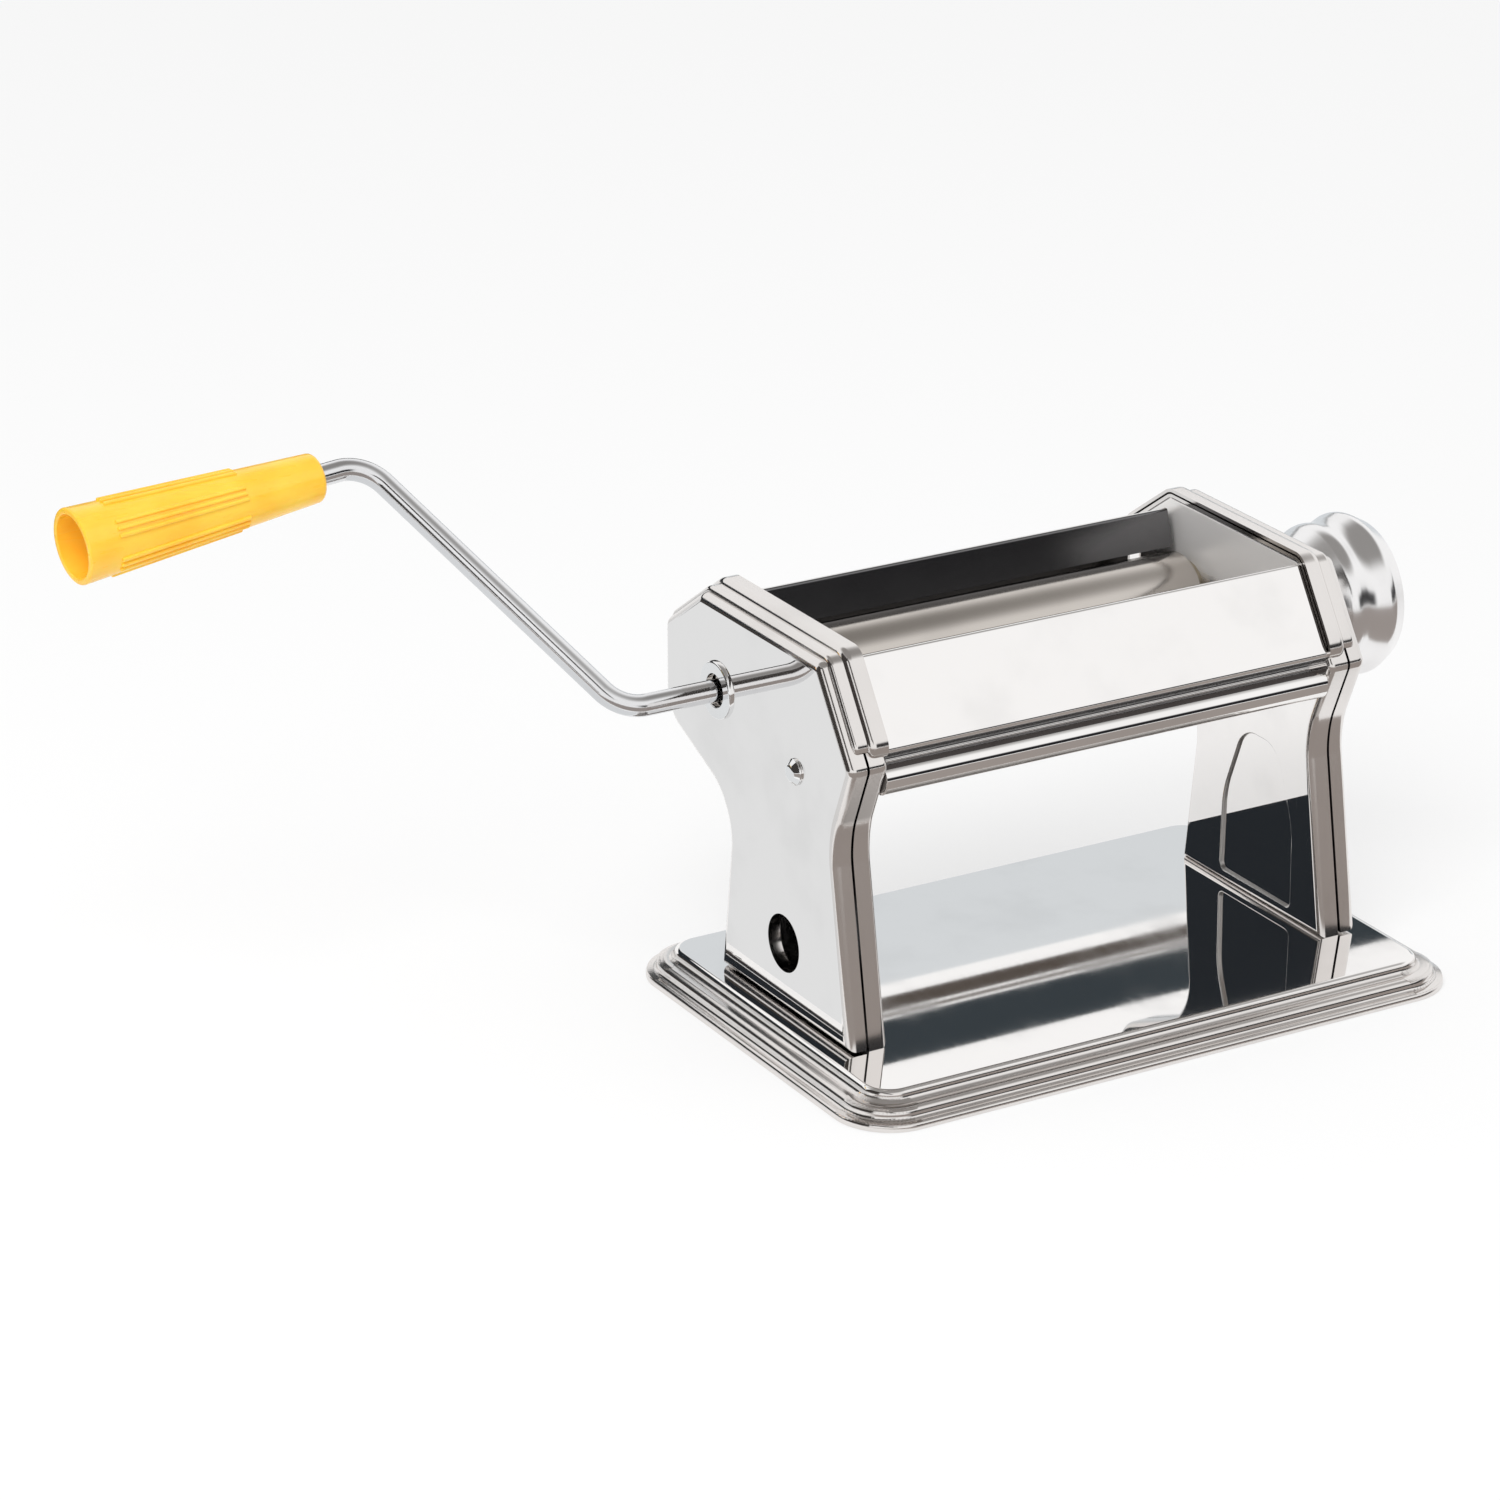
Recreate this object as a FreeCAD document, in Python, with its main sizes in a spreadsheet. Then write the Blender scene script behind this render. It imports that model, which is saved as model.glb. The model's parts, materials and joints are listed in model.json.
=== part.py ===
"""Pasta roller machine with a crank and an adjusting knob.

Millimetres. +X runs along the rollers towards the knob, -Y is the front and +Z is up.
The origin is on the table, under the middle of the base.
"""
import FreeCAD
import Part
import math
import os
import types

SIZES = (
    # base tray, a pressed sheet with two terraces and a plateau
    ("base_margin", 15.0),
    ("base_width", 139.0),
    ("base_corner", 17.6),
    ("base_sheet", 1.0),
    ("flange_top", 2.6),
    ("flange_inset", 3.2),
    ("band_top", 5.6),
    ("plateau_inset", 8.4),
    ("plateau_top", 8.6),
    ("base_round", 1.4),
    # side outline, as seen along the rollers
    ("foot_front", -34.5),
    ("foot_rear", 38.5),
    ("waist_front", -24.0),
    ("waist_front_height", 70.0),
    ("waist_rear", 32.0),
    ("waist_rear_height", 61.0),
    ("waist_round", 26.0),
    ("waist_rear_round", 18.0),
    ("cheek_front", -34.0),
    ("cheek_front_height", 94.0),
    ("cheek_rear", 71.0),
    ("cheek_rear_top", 106.5),
    ("cheek_rear_low", 78.0),
    ("cheek_rear_round", 12.0),
    ("top_front", -16.0),
    ("top_rear", 50.2),
    ("head_rise", 26.4),
    ("head_round", 3.0),
    # terraces round the head of a side cover
    ("terrace_step", 1.6),
    ("terrace_front_low", 98.6),
    ("terrace_rear_low", 86.0),
    ("terrace_rear_inner", 58.0),
    ("terrace_return", 40.0),
    # side covers and inner plates, distances from the middle plane
    ("inner_face", 75.0),
    ("inner_sheet", 1.2),
    ("plate_depth", 6.3),
    ("head_rim_drop", 1.3),
    ("inner_head_step", 1.7),
    ("seam_gap", 0.5),
    ("cover_room", 0.9),
    ("cover_sheet", 1.0),
    ("terrace_one_drop", 1.8),
    ("terrace_two_drop", 5.5),
    ("cover_lift", 2.4),
    ("edge_round", 1.5),
    # arched emboss of the inner plates
    ("arch_front", -18.0),
    ("arch_rear", 18.0),
    ("arch_top", 61.0),
    ("arch_low", 12.5),
    ("arch_depth", 0.8),
    ("arch_corner", 2.0),
    # rollers and the eccentric adjustment
    ("roller_dia", 26.0),
    ("roller_edge", 0.5),
    ("roller_gap", 1.5),
    ("drive_y", 39.8),
    ("drive_z", 94.6),
    ("shaft_dia", 12.0),
    ("trunnion_dia", 16.0),
    ("throw", 1.5),
    ("eccentric_dia", 8.6),
    ("spindle_room", 1.0),
    ("pilot_dia", 5.4),
    ("knob_seat_dia", 8.0),
    ("running_gap", 0.05),
    ("seat_gap", 0.02),
    ("side_gap", 0.4),
    ("bush_wall", 2.0),
    ("bush_flange", 2.4),
    ("bush_collar", 2.0),
    ("bush_sleeve", 1.0),
    ("idle_bush_dia", 13.0),
    ("idle_bush_length", 14.0),
    ("window_gap", 0.9),
    # gears
    ("tooth_tip", 2.1),
    ("tooth_root", 3.7),
    ("tooth_tip_width", 0.8),
    ("tooth_width", 1.9),
    ("tooth_root_width", 2.8),
    ("gear_gap", 2.1),
    ("gear_width", 5.0),
    ("ring_thick", 0.9),
    ("ring_groove", 0.6),
    ("ring_height", 2.2),
    ("shaft_tail", 3.1),
    # bearing bridge over the gears
    ("bridge_gap", 1.3),
    ("bridge_sheet", 1.5),
    ("bridge_front", 21.3),
    ("bridge_rear", 5.7),
    ("bridge_room", 0.8),
    ("bridge_foot", 3.0),
    ("bridge_bend", 1.0),
    # covers beside the slot
    ("cover_plate", 0.8),
    ("rear_cover_half", 72.7),
    ("roll_radius", 4.6),
    ("front_roll_y", -28.3),
    ("front_roll_z", 88.2),
    ("rear_roll_y", 60.0),
    ("rear_roll_z", 83.0),
    ("front_edge_y", -16.8),
    ("front_edge_z", 121.9),
    ("front_low_y", -33.0),
    ("front_low_z", 97.6),
    ("front_lip_y", -26.6),
    ("front_guide_y", -9.8),
    ("front_guide_z", 111.8),
    ("rear_edge_y", 48.4),
    ("rear_edge_z", 119.4),
    ("rear_shoulder_y", 69.3),
    ("rear_shoulder_z", 106.3),
    ("rear_low_z", 92.0),
    ("rear_lip_y", 58.4),
    ("rear_guide_y", 45.9),
    ("rear_guide_z", 110.6),
    ("sheet_bend", 1.2),
    ("shoulder_bend", 2.0),
    ("lip_bend", 0.4),
    # tie rods
    ("rod_dia", 7.2),
    ("rod_thread_dia", 5.0),
    ("nut_width", 8.0),
    ("nut_thick", 3.6),
    ("low_rod_y", -16.0),
    ("low_rod_z", 81.5),
    # scrapers
    ("blade_thick", 0.8),
    ("blade_angle", 62.0),
    ("blade_gap", 0.4),
    ("blade_length", 17.0),
    ("blade_slope", 26.0),
    ("arm_thick", 2.2),
    ("arm_wall", 3.0),
    ("scraper_rod_y", 50.0),
    ("scraper_rod_z", 77.0),
    ("scraper_rod_dia", 6.0),
    # crank
    ("crank_bush_dia", 17.4),
    ("crank_bush_hole", 10.0),
    ("crank_bush_neck", 14.0),
    ("crank_bush_lip", 1.1),
    ("crank_bush_round", 0.6),
    ("crank_hole_round", 0.3),
    ("crank_dia", 6.6),
    ("crank_flat", 1.0),
    ("crank_depth", 28.0),
    ("socket_spare", 2.0),
    ("crank_turn", 45.0),
    ("crank_straight", 31.2),
    ("crank_slant", 48.7),
    ("crank_radius", 89.8),
    ("crank_bend", 13.0),
    ("grip_lean", 5.6),
    ("grip_start", 15.6),
    ("grip_length", 78.0),
    ("grip_small", 14.4),
    ("grip_large", 22.4),
    ("grip_wall", 1.9),
    ("grip_floor", 44.0),
    ("grip_floor_round", 1.0),
    ("grip_mouth_round", 0.4),
    ("grip_rim_round", 0.7),
    ("grip_end_round", 1.5),
    ("rib_start", 26.0),
    ("rib_end", 68.0),
    ("rib_height", 0.8),
    ("rib_width", 1.0),
    ("rib_pitch", 11.0),
    ("rib_root", 0.4),
    ("washer_dia", 13.0),
    ("washer_thick", 1.2),
    ("rod_past_washer", 2.0),
    # adjusting knob
    ("index_dia", 39.0),
    ("index_thick", 1.2),
    ("index_circle", 15.0),
    ("index_step", 20.0),
    ("dimple_dia", 3.2),
    ("dimple_depth", 0.7),
    ("pin_dia", 3.0),
    ("pin_length", 6.0),
    ("pin_gap", 0.3),
    ("pin_round", 1.0),
    ("knob_gap", 0.5),
    ("knob_hub_dia", 35.0),
    ("knob_hub_length", 4.0),
    ("knob_shoulder_dia", 46.6),
    ("knob_shoulder", 12.0),
    ("knob_waist_dia", 45.2),
    ("knob_waist", 18.0),
    ("knob_rim_dia", 50.0),
    ("knob_rim", 24.0),
    ("knob_length", 29.6),
    ("knob_face_dia", 44.0),
    ("knob_dish", 4.0),
    ("knob_dish_dia", 36.0),
    ("knob_cavity_dia", 14.0),
    ("knob_floor", 9.0),
    ("knob_start_round", 0.4),
    ("knob_hub_round", 2.0),
    ("knob_shoulder_round", 5.0),
    ("knob_waist_round", 8.0),
    ("knob_rim_round", 3.0),
    ("knob_face_round", 1.0),
    ("knob_mouth_round", 0.8),
    ("knob_dish_round", 1.5),
    ("knob_cavity_round", 0.8),
    ("spring_room", 11.3),
    ("knob_screw_dia", 4.0),
    ("knob_screw_depth", 8.0),
    ("knob_flat", 1.0),
    ("knob_screw_head", 12.4),
    ("knob_screw_thick", 2.6),
    ("knob_screw_round", 1.0),
    ("spring_dia", 10.6),
    ("spring_wire", 1.1),
    ("spring_turns", 4.0),
    # screws
    ("screw_dia", 4.0),
    ("screw_head", 7.8),
    ("screw_head_thick", 2.2),
    ("cover_screw_round", 1.6),
    ("base_screw_round", 0.8),
    ("screw_gap", 0.1),
    ("cover_screw_y", -4.2),
    ("cover_screw_z", 84.7),
    ("right_screw_y", -4.2),
    ("right_screw_z", 67.0),
    ("cover_screw_length", 3.2),
    ("post_dia", 8.0),
    ("base_screw_inset", 2.7),
    ("base_screw_front", -24.0),
    ("base_screw_rear", 28.0),
    ("base_screw_length", 5.6),
    # hole in the left side for a table clamp
    ("clamp_y", 2.0),
    ("clamp_z", 29.6),
    ("clamp_dia", 17.4),
)

# Sizes that follow from the ones above
FOLLOWING = (
    ("top_height", "drive_z + head_rise"),
    ("roller_half", "inner_face - arm_thick - 2 * side_gap"),
    ("inner_rim", "inner_face + plate_depth"),
    ("inner_head_rim", "inner_rim - head_rim_drop"),
    ("cover_seam", "inner_rim + seam_gap"),
    ("gear_inner", "inner_face + inner_sheet + gear_gap"),
    ("gear_outer", "gear_inner + gear_width"),
    ("shaft_end", "gear_outer + shaft_tail"),
    ("bridge_inner", "gear_outer + bridge_gap"),
    ("cover_face", "bridge_inner + bridge_sheet + cover_room + cover_sheet"),
    ("cover_terrace_one", "cover_face - terrace_one_drop"),
    ("cover_terrace_two", "cover_face - terrace_two_drop"),
    ("base_length", "2 * (cover_face + base_margin)"),
    ("base_screw_x", "inner_face + inner_sheet + base_screw_inset"),
    ("crank_elbow", "-cover_face - crank_straight"),
    ("crank_reach", "crank_elbow - crank_slant"),
    ("index_face", "cover_face + index_thick"),
    ("knob_start", "index_face + knob_gap"),
    ("seat_end", "knob_start + knob_floor + spring_room"),
)

TEETH = 12
KNOB_STOPS = 7
RIB_GROUPS = 4
RIBS_IN_GROUP = 4
SIDES = (("left", -1), ("right", 1))
# An arch's top corners take this share of half its width, so that a short flat stays between them
ARCH_ROUND_SHARE = 0.98
# How near counts as the same point, on a plane or on a rounded corner, and the least that a cut removes
SAME_POINT = 1e-6
ON_PLANE = 1e-4
ON_CURVE = 1e-3
LEAST_CUT = 1e-3

doc = FreeCAD.newDocument("pasta_machine")
sheet = doc.addObject("Spreadsheet::Sheet", "sizes")
rows = [(alias, str(value)) for alias, value in SIZES]
rows += [(alias, "=" + words) for alias, words in FOLLOWING]
for row, (alias, content) in enumerate(rows, start=1):
    sheet.set("A%d" % row, alias)
    sheet.set("B%d" % row, content)
    sheet.setAlias("B%d" % row, alias)
doc.recompute()
size = types.SimpleNamespace(**{alias: float(sheet.get(alias)) for alias, _ in rows})

# Places that follow from the sizes
axis_distance = size.roller_dia + size.roller_gap
idle_y = size.drive_y - axis_distance
STOP_RANGE = (KNOB_STOPS - 1) / 2 * math.radians(size.index_step)
mean_drop = size.throw * (1 + math.cos(STOP_RANGE)) / 2
spindle_z = size.drive_z + mean_drop
idle_z = spindle_z - size.throw
roller_radius = size.roller_dia / 2
pitch_radius = axis_distance / 2
tip_radius = pitch_radius + size.tooth_tip
root_radius = pitch_radius - size.tooth_root
index_face = size.index_face
knob_start = size.knob_start

parts = []
cuts = []


def new_body(name, place=None):
    """A sub-part, at its own place in the machine."""
    body = doc.addObject("PartDesign::Body", name)
    body.Label = name
    if place is not None:
        body.Placement = place
    parts.append(body)
    return body


def at(x, y, z, rotation=None):
    return FreeCAD.Placement(FreeCAD.Vector(x, y, z), rotation or FreeCAD.Rotation())


def sketch_on(body, name, role, height="0"):
    """A sketch on one of the body's own planes, raised to a height given by an expression."""
    plane = [feature for feature in body.Origin.OriginFeatures if feature.Role == role][0]
    sketch = body.newObject("Sketcher::SketchObject", body.Name + "_" + name + "_sketch")
    sketch.AttachmentSupport = [(plane, "")]
    sketch.MapMode = "FlatFace"
    sketch.setExpression("AttachmentOffset.Base.z", height)
    return sketch


def corner(before, point, after):
    """Start, middle and end of the arc that rounds a corner, or one point three times."""
    here = FreeCAD.Vector(point[0], point[1], 0)
    back = (FreeCAD.Vector(before[0], before[1], 0) - here).normalize()
    ahead = (FreeCAD.Vector(after[0], after[1], 0) - here).normalize()
    radius = point[2]
    if radius <= 0:
        return here, here, here
    half = back.getAngle(ahead) / 2
    reach = radius / math.tan(half)
    middle = (back + ahead).normalize() * (radius / math.sin(half) - radius)
    return here + back * reach, here + middle, here + ahead * reach


def draw_loop(sketch, points):
    """A closed outline of lines and arcs; each point is u, v and its corner's radius."""
    count = len(points)
    corners = [corner(points[i - 1], points[i], points[(i + 1) % count]) for i in range(count)]
    for i, (start, middle, end) in enumerate(corners):
        if (end - start).Length > SAME_POINT:
            sketch.addGeometry(Part.Arc(start, middle, end))
        following = corners[(i + 1) % count][0]
        if (following - end).Length > SAME_POINT:
            sketch.addGeometry(Part.LineSegment(end, following))


def draw_circle(sketch, u, v, diameter):
    sketch.addGeometry(Part.Circle(FreeCAD.Vector(u, v, 0), FreeCAD.Vector(0, 0, 1), diameter / 2))


def turn_of(before, point, after):
    return ((point[0] - before[0]) * (after[1] - point[1])
            - (point[1] - before[1]) * (after[0] - point[0]))


def shifted(start, end, distance):
    """An edge moved to its left; returns a point and a direction."""
    along = (FreeCAD.Vector(end[0], end[1], 0) - FreeCAD.Vector(start[0], start[1], 0)).normalize()
    left = FreeCAD.Vector(-along.y, along.x, 0)
    return FreeCAD.Vector(start[0], start[1], 0) + left * distance, along


def meeting(first, second):
    """Where two lines meet."""
    (p, d), (q, e) = first, second
    cross = d.x * e.y - d.y * e.x
    reach = ((q.x - p.x) * e.y - (q.y - p.y) * e.x) / cross
    return p + d * reach


def inset(points, distance):
    """An outline drawn anticlockwise, moved inwards; a negative distance moves it outwards."""
    count = len(points)
    result = []
    for i in range(count):
        before, here, after = points[i - 1], points[i], points[(i + 1) % count]
        place = meeting(shifted(before, here, distance), shifted(here, after, distance))
        change = -distance if turn_of(before, here, after) > 0 else distance
        radius = max(here[2] + change, 0.0) if here[2] > 0 else 0.0
        result.append((place.x, place.y, radius))
    return result


def strip(points, thickness):
    """The closed outline of a bent sheet whose outer face follows an open path, sheet on its left."""
    first, along = shifted(points[0], points[1], thickness)
    back = [(first.x, first.y, 0.0)]
    for before, here, after in zip(points, points[1:], points[2:]):
        place = meeting(shifted(before, here, thickness), shifted(here, after, thickness))
        change = -thickness if turn_of(before, here, after) > 0 else thickness
        back.append((place.x, place.y, max(here[2] + change, 0.0)))
    last, along = shifted(points[-2], points[-1], thickness)
    length = math.hypot(points[-1][0] - points[-2][0], points[-1][1] - points[-2][1])
    end = last + along * length
    back.append((end.x, end.y, 0.0))
    return list(points) + back[::-1]


def pad(body, name, sketch, length, both_ways=False):
    feature = body.newObject("PartDesign::Pad", body.Name + "_" + name)
    feature.Profile = sketch
    feature.Midplane = both_ways
    feature.setExpression("Length", length)
    return feature


def pocket(body, name, sketch, length):
    """A cut that goes down from its sketch."""
    feature = body.newObject("PartDesign::Pocket", body.Name + "_" + name)
    feature.Profile = sketch
    feature.setExpression("Length", length)
    cuts.append(feature)
    return feature


def span(side, near, far):
    """Lower end, upper end and length, as expressions, of a stretch between two distances."""
    length = "(%s) - (%s)" % (far, near)
    if side > 0:
        return near, far, length
    return "-(%s)" % far, "-(%s)" % near, length


def side_pad(body, name, side, loops, near, far):
    low, _, length = span(side, near, far)
    sketch = sketch_on(body, name, "YZ_Plane", low)
    for loop in loops:
        draw_loop(sketch, loop)
    return pad(body, name, sketch, length)


def side_pocket(body, name, side, loops, near, far):
    _, high, length = span(side, near, far)
    sketch = sketch_on(body, name, "YZ_Plane", high)
    for loop in loops:
        draw_loop(sketch, loop)
    return pocket(body, name, sketch, length)


def side_hole(body, name, side, circles, near, far):
    _, high, length = span(side, near, far)
    sketch = sketch_on(body, name, "YZ_Plane", high)
    for y, z, diameter in circles:
        draw_circle(sketch, y, z, diameter)
    return pocket(body, name, sketch, length)


def turned(body, name, profile):
    """A piece turned about the body's own X axis from a profile of x, radius and corner radius."""
    sketch = sketch_on(body, name, "XY_Plane")
    draw_loop(sketch, profile)
    feature = body.newObject("PartDesign::Revolution", body.Name + "_" + name)
    feature.Profile = sketch
    feature.ReferenceAxis = (sketch, ["H_Axis"])
    feature.Angle = 360
    return feature


def tube(x_from, x_to, inner_dia, outer_dia):
    """The profile of a plain ring."""
    return [(x_from, inner_dia / 2, 0), (x_to, inner_dia / 2, 0),
            (x_to, outer_dia / 2, 0), (x_from, outer_dia / 2, 0)]


def round_edges(body, name, feature, radius, wanted):
    """Rounds the edges of a feature whose points all pass a test."""
    doc.recompute()
    names = []
    for number, edge in enumerate(feature.Shape.Edges, start=1):
        places = [edge.valueAt(edge.FirstParameter + share * (edge.LastParameter - edge.FirstParameter))
                  for share in (0.0, 0.5, 1.0)]
        if all(wanted(place) for place in places):
            names.append("Edge%d" % number)
    fillet = body.newObject("PartDesign::Fillet", body.Name + "_" + name)
    fillet.Base = (feature, names)
    fillet.setExpression("Radius", radius)
    return fillet


def on_x(distance):
    """A test for points in the plane at that distance from the middle."""
    return lambda place: abs(abs(place.x) - distance) < ON_PLANE


def on_z(height):
    return lambda place: abs(place.z - height) < ON_PLANE


def group(name, solids):
    """Identical pieces that share one name."""
    feature = doc.addObject("Part::Compound", name)
    feature.Label = name
    feature.Links = solids
    for solid in solids:
        if solid in parts:
            parts.remove(solid)
    parts.append(feature)
    return feature


def rod(name, diameter, x_from, length, y, z):
    """A plain round bar along X; the diameter and the length are expressions."""
    bar = doc.addObject("Part::Cylinder", name)
    bar.setExpression("Radius", "(%s) / 2" % diameter)
    bar.setExpression("Height", length)
    bar.Placement = at(x_from, y, z, FreeCAD.Rotation(FreeCAD.Vector(0, 1, 0), 90))
    return bar


# Outlines of the sides, in Y and Z, anticlockwise

def side_outline(bottom):
    """Foot, waist and head of a side piece."""
    return [
        (size.foot_front, bottom, 0.0),
        (size.foot_rear, bottom, 0.0),
        (size.waist_rear, size.waist_rear_height, size.waist_rear_round),
        (size.cheek_rear, size.cheek_rear_low, size.cheek_rear_round),
        (size.cheek_rear, size.cheek_rear_top, size.head_round),
        (size.top_rear, size.top_height, size.head_round),
        (size.top_front, size.top_height, size.head_round),
        (size.cheek_front, size.cheek_front_height, size.head_round),
        (size.waist_front, size.waist_front_height, size.waist_round),
    ]


def head_outline(step):
    """The head alone, moved outwards by a step."""
    slope = (size.cheek_front - size.top_front) / (size.cheek_front_height - size.top_height)
    front = size.top_front + slope * (size.terrace_front_low - size.top_height)
    head = [
        (front, size.terrace_front_low, size.edge_round),
        (size.terrace_return, size.terrace_front_low, 0.0),
        (size.terrace_rear_inner, size.terrace_rear_low, 0.0),
        (size.cheek_rear, size.terrace_rear_low, size.edge_round),
        (size.cheek_rear, size.cheek_rear_top, size.head_round),
        (size.top_rear, size.top_height, size.head_round),
        (size.top_front, size.top_height, size.head_round),
    ]
    return inset(head, -step)


def arch_outline(shrink):
    """The arched panel pressed into a leg of an inner plate."""
    wide = (size.arch_rear - size.arch_front) / 2 * ARCH_ROUND_SHARE
    arch = [
        (size.arch_front, size.arch_low, size.arch_corner),
        (size.arch_rear, size.arch_low, size.arch_corner),
        (size.arch_rear, size.arch_top, wide),
        (size.arch_front, size.arch_top, wide),
    ]
    return inset(arch, shrink)


# Base and sides

def base_tray():
    """A pressed tray: flange, band and plateau, hollow below."""
    body = new_body("base_tray")
    half_x, half_y = size.base_length / 2, size.base_width / 2
    outline = [(-half_x, -half_y, size.base_corner), (half_x, -half_y, size.base_corner),
               (half_x, half_y, size.base_corner), (-half_x, half_y, size.base_corner)]
    levels = (("flange", 0.0, "sizes.flange_top"), ("band", size.flange_inset, "sizes.band_top"),
              ("plateau", size.plateau_inset, "sizes.plateau_top"))
    solid = None
    for name, step, top in levels:
        sketch = sketch_on(body, name, "XY_Plane")
        draw_loop(sketch, inset(outline, step))
        solid = pad(body, name, sketch, top)
    steps = (("plateau", size.plateau_inset, size.plateau_top), ("band", size.flange_inset, size.band_top),
             ("flange", 0.0, size.flange_top))
    for name, outer, height in steps:
        reach = half_x - outer

        def wanted(place, height=height, reach=reach, outer=outer):
            across = abs(place.y) - (half_y - outer)
            on_side = abs(abs(place.x) - reach) < ON_CURVE or abs(across) < ON_CURVE
            in_corner = abs(place.x) > half_x - size.base_corner - ON_CURVE
            return on_z(height)(place) and (on_side or in_corner and beyond(place, outer))

        solid = round_edges(body, name + "_round", solid, "sizes.base_round", wanted)
    for name, step, top in levels:
        sketch = sketch_on(body, name + "_hollow", "XY_Plane", top + " - sizes.base_sheet")
        draw_loop(sketch, inset(outline, step + size.base_sheet))
        pocket(body, name + "_hollow", sketch, top + " - sizes.base_sheet")
    sketch = sketch_on(body, "screw_holes", "XY_Plane", "sizes.plateau_top")
    for x, y in base_screw_places():
        draw_circle(sketch, x, y, size.screw_dia + 2 * size.screw_gap)
    pocket(body, "screw_holes", sketch, "2 * sizes.base_sheet")


def beyond(place, step):
    """Whether a point lies on the tray's rounded corner, moved inwards by a step."""
    centre_x = size.base_length / 2 - size.base_corner
    centre_y = size.base_width / 2 - size.base_corner
    radius = math.hypot(abs(place.x) - centre_x, abs(place.y) - centre_y)
    return abs(radius - (size.base_corner - step)) < ON_CURVE


def base_screw_places():
    return [(side * size.base_screw_x, y)
            for _, side in SIDES for y in (size.base_screw_front, size.base_screw_rear)]


def inner_plate(name, side):
    """A pressed pan: flat web towards the rollers, flange towards the side cover."""
    body = new_body("inner_plate_" + name)
    outline = side_outline(size.plateau_top)
    head = head_outline(size.inner_head_step)
    web = "sizes.inner_face + sizes.inner_sheet"
    side_pad(body, "leg", side, [outline], "sizes.inner_face", "sizes.inner_rim")
    solid = side_pad(body, "head", side, [head], "sizes.inner_face", "sizes.inner_head_rim")
    solid = round_edges(body, "edge", solid, "sizes.edge_round", on_x(size.inner_face))
    side_pocket(body, "leg_hollow", side, [inset(outline, size.inner_sheet)], web, "sizes.inner_rim")
    side_pocket(body, "head_hollow", side, [inset(head, size.inner_sheet)], web, "sizes.inner_head_rim")
    side_pad(body, "arch", side, [arch_outline(0.0)], web, web + " + sizes.arch_depth")
    side_pocket(body, "arch_hollow", side, [arch_outline(size.inner_sheet)],
                "sizes.inner_face", "sizes.inner_face + sizes.arch_depth")
    holes = [(y, z, size.rod_thread_dia + 2 * size.screw_gap) for y, z in tie_rod_places()]
    holes.append((size.drive_y, size.drive_z, bush_dia(size.shaft_dia)))
    if side < 0:
        window = size.trunnion_dia + 2 * (size.throw + size.window_gap)
        holes.append((idle_y, size.drive_z, window))
        holes.append((size.clamp_y, size.clamp_z, size.clamp_dia))
    else:
        holes.append((idle_y, spindle_z, bush_dia(size.shaft_dia)))
    side_hole(body, "holes", side, holes, "sizes.inner_face", web + " + sizes.arch_depth")
    sketch = sketch_on(body, "foot_holes", "XY_Plane", "sizes.plateau_top + 2 * sizes.inner_sheet")
    for x, y in base_screw_places():
        if x * side > 0:
            draw_circle(sketch, x, y, size.screw_dia + 2 * size.screw_gap)
    pocket(body, "foot_holes", sketch, "2 * sizes.inner_sheet")


def bush_dia(shaft):
    return shaft + 2 * size.running_gap + 2 * size.bush_wall


def side_cover(name, side):
    """A pressed cover: flat face, two terraces round the head, flange along the leg."""
    body = new_body("side_cover_" + name)
    outline = side_outline(size.plateau_top + size.cover_lift)
    one = head_outline(size.terrace_step)
    two = head_outline(2 * size.terrace_step)
    wall = " - sizes.cover_sheet"
    side_pad(body, "face", side, [outline], "sizes.cover_seam", "sizes.cover_face")
    side_pad(body, "terrace_one", side, [one], "sizes.inner_face", "sizes.cover_terrace_one")
    solid = side_pad(body, "terrace_two", side, [two], "sizes.inner_face", "sizes.cover_terrace_two")
    solid = round_edges(body, "face_edge", solid, "sizes.edge_round", on_x(size.cover_face))
    side_pocket(body, "plate_room", side, [inset(outline, -size.side_gap)],
                "sizes.inner_face", "sizes.cover_seam")
    side_pocket(body, "face_hollow", side, [inset(outline, size.cover_sheet)],
                "sizes.inner_face", "sizes.cover_face" + wall)
    side_pocket(body, "hollow_one", side, [inset(one, size.cover_sheet)],
                "sizes.inner_face", "sizes.cover_terrace_one" + wall)
    side_pocket(body, "hollow_two", side, [inset(two, size.cover_sheet)],
                "sizes.inner_face", "sizes.cover_terrace_two" + wall)
    holes = [cover_screw_place(side) + (size.screw_dia + 2 * size.screw_gap,)]
    if side < 0:
        holes.append((size.drive_y, size.drive_z, size.crank_bush_neck))
        holes.append((size.clamp_y, size.clamp_z, size.clamp_dia))
    else:
        holes.append((idle_y, spindle_z, size.shaft_dia + 2 * size.side_gap))
    side_hole(body, "holes", side, holes, "sizes.cover_face" + wall, "sizes.cover_face")


def cover_screw_place(side):
    """The left cover's screw, or the right cover's, which keeps clear of the knob."""
    if side < 0:
        return size.cover_screw_y, size.cover_screw_z
    return size.right_screw_y, size.right_screw_z


# Covers and rods between the sides

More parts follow.
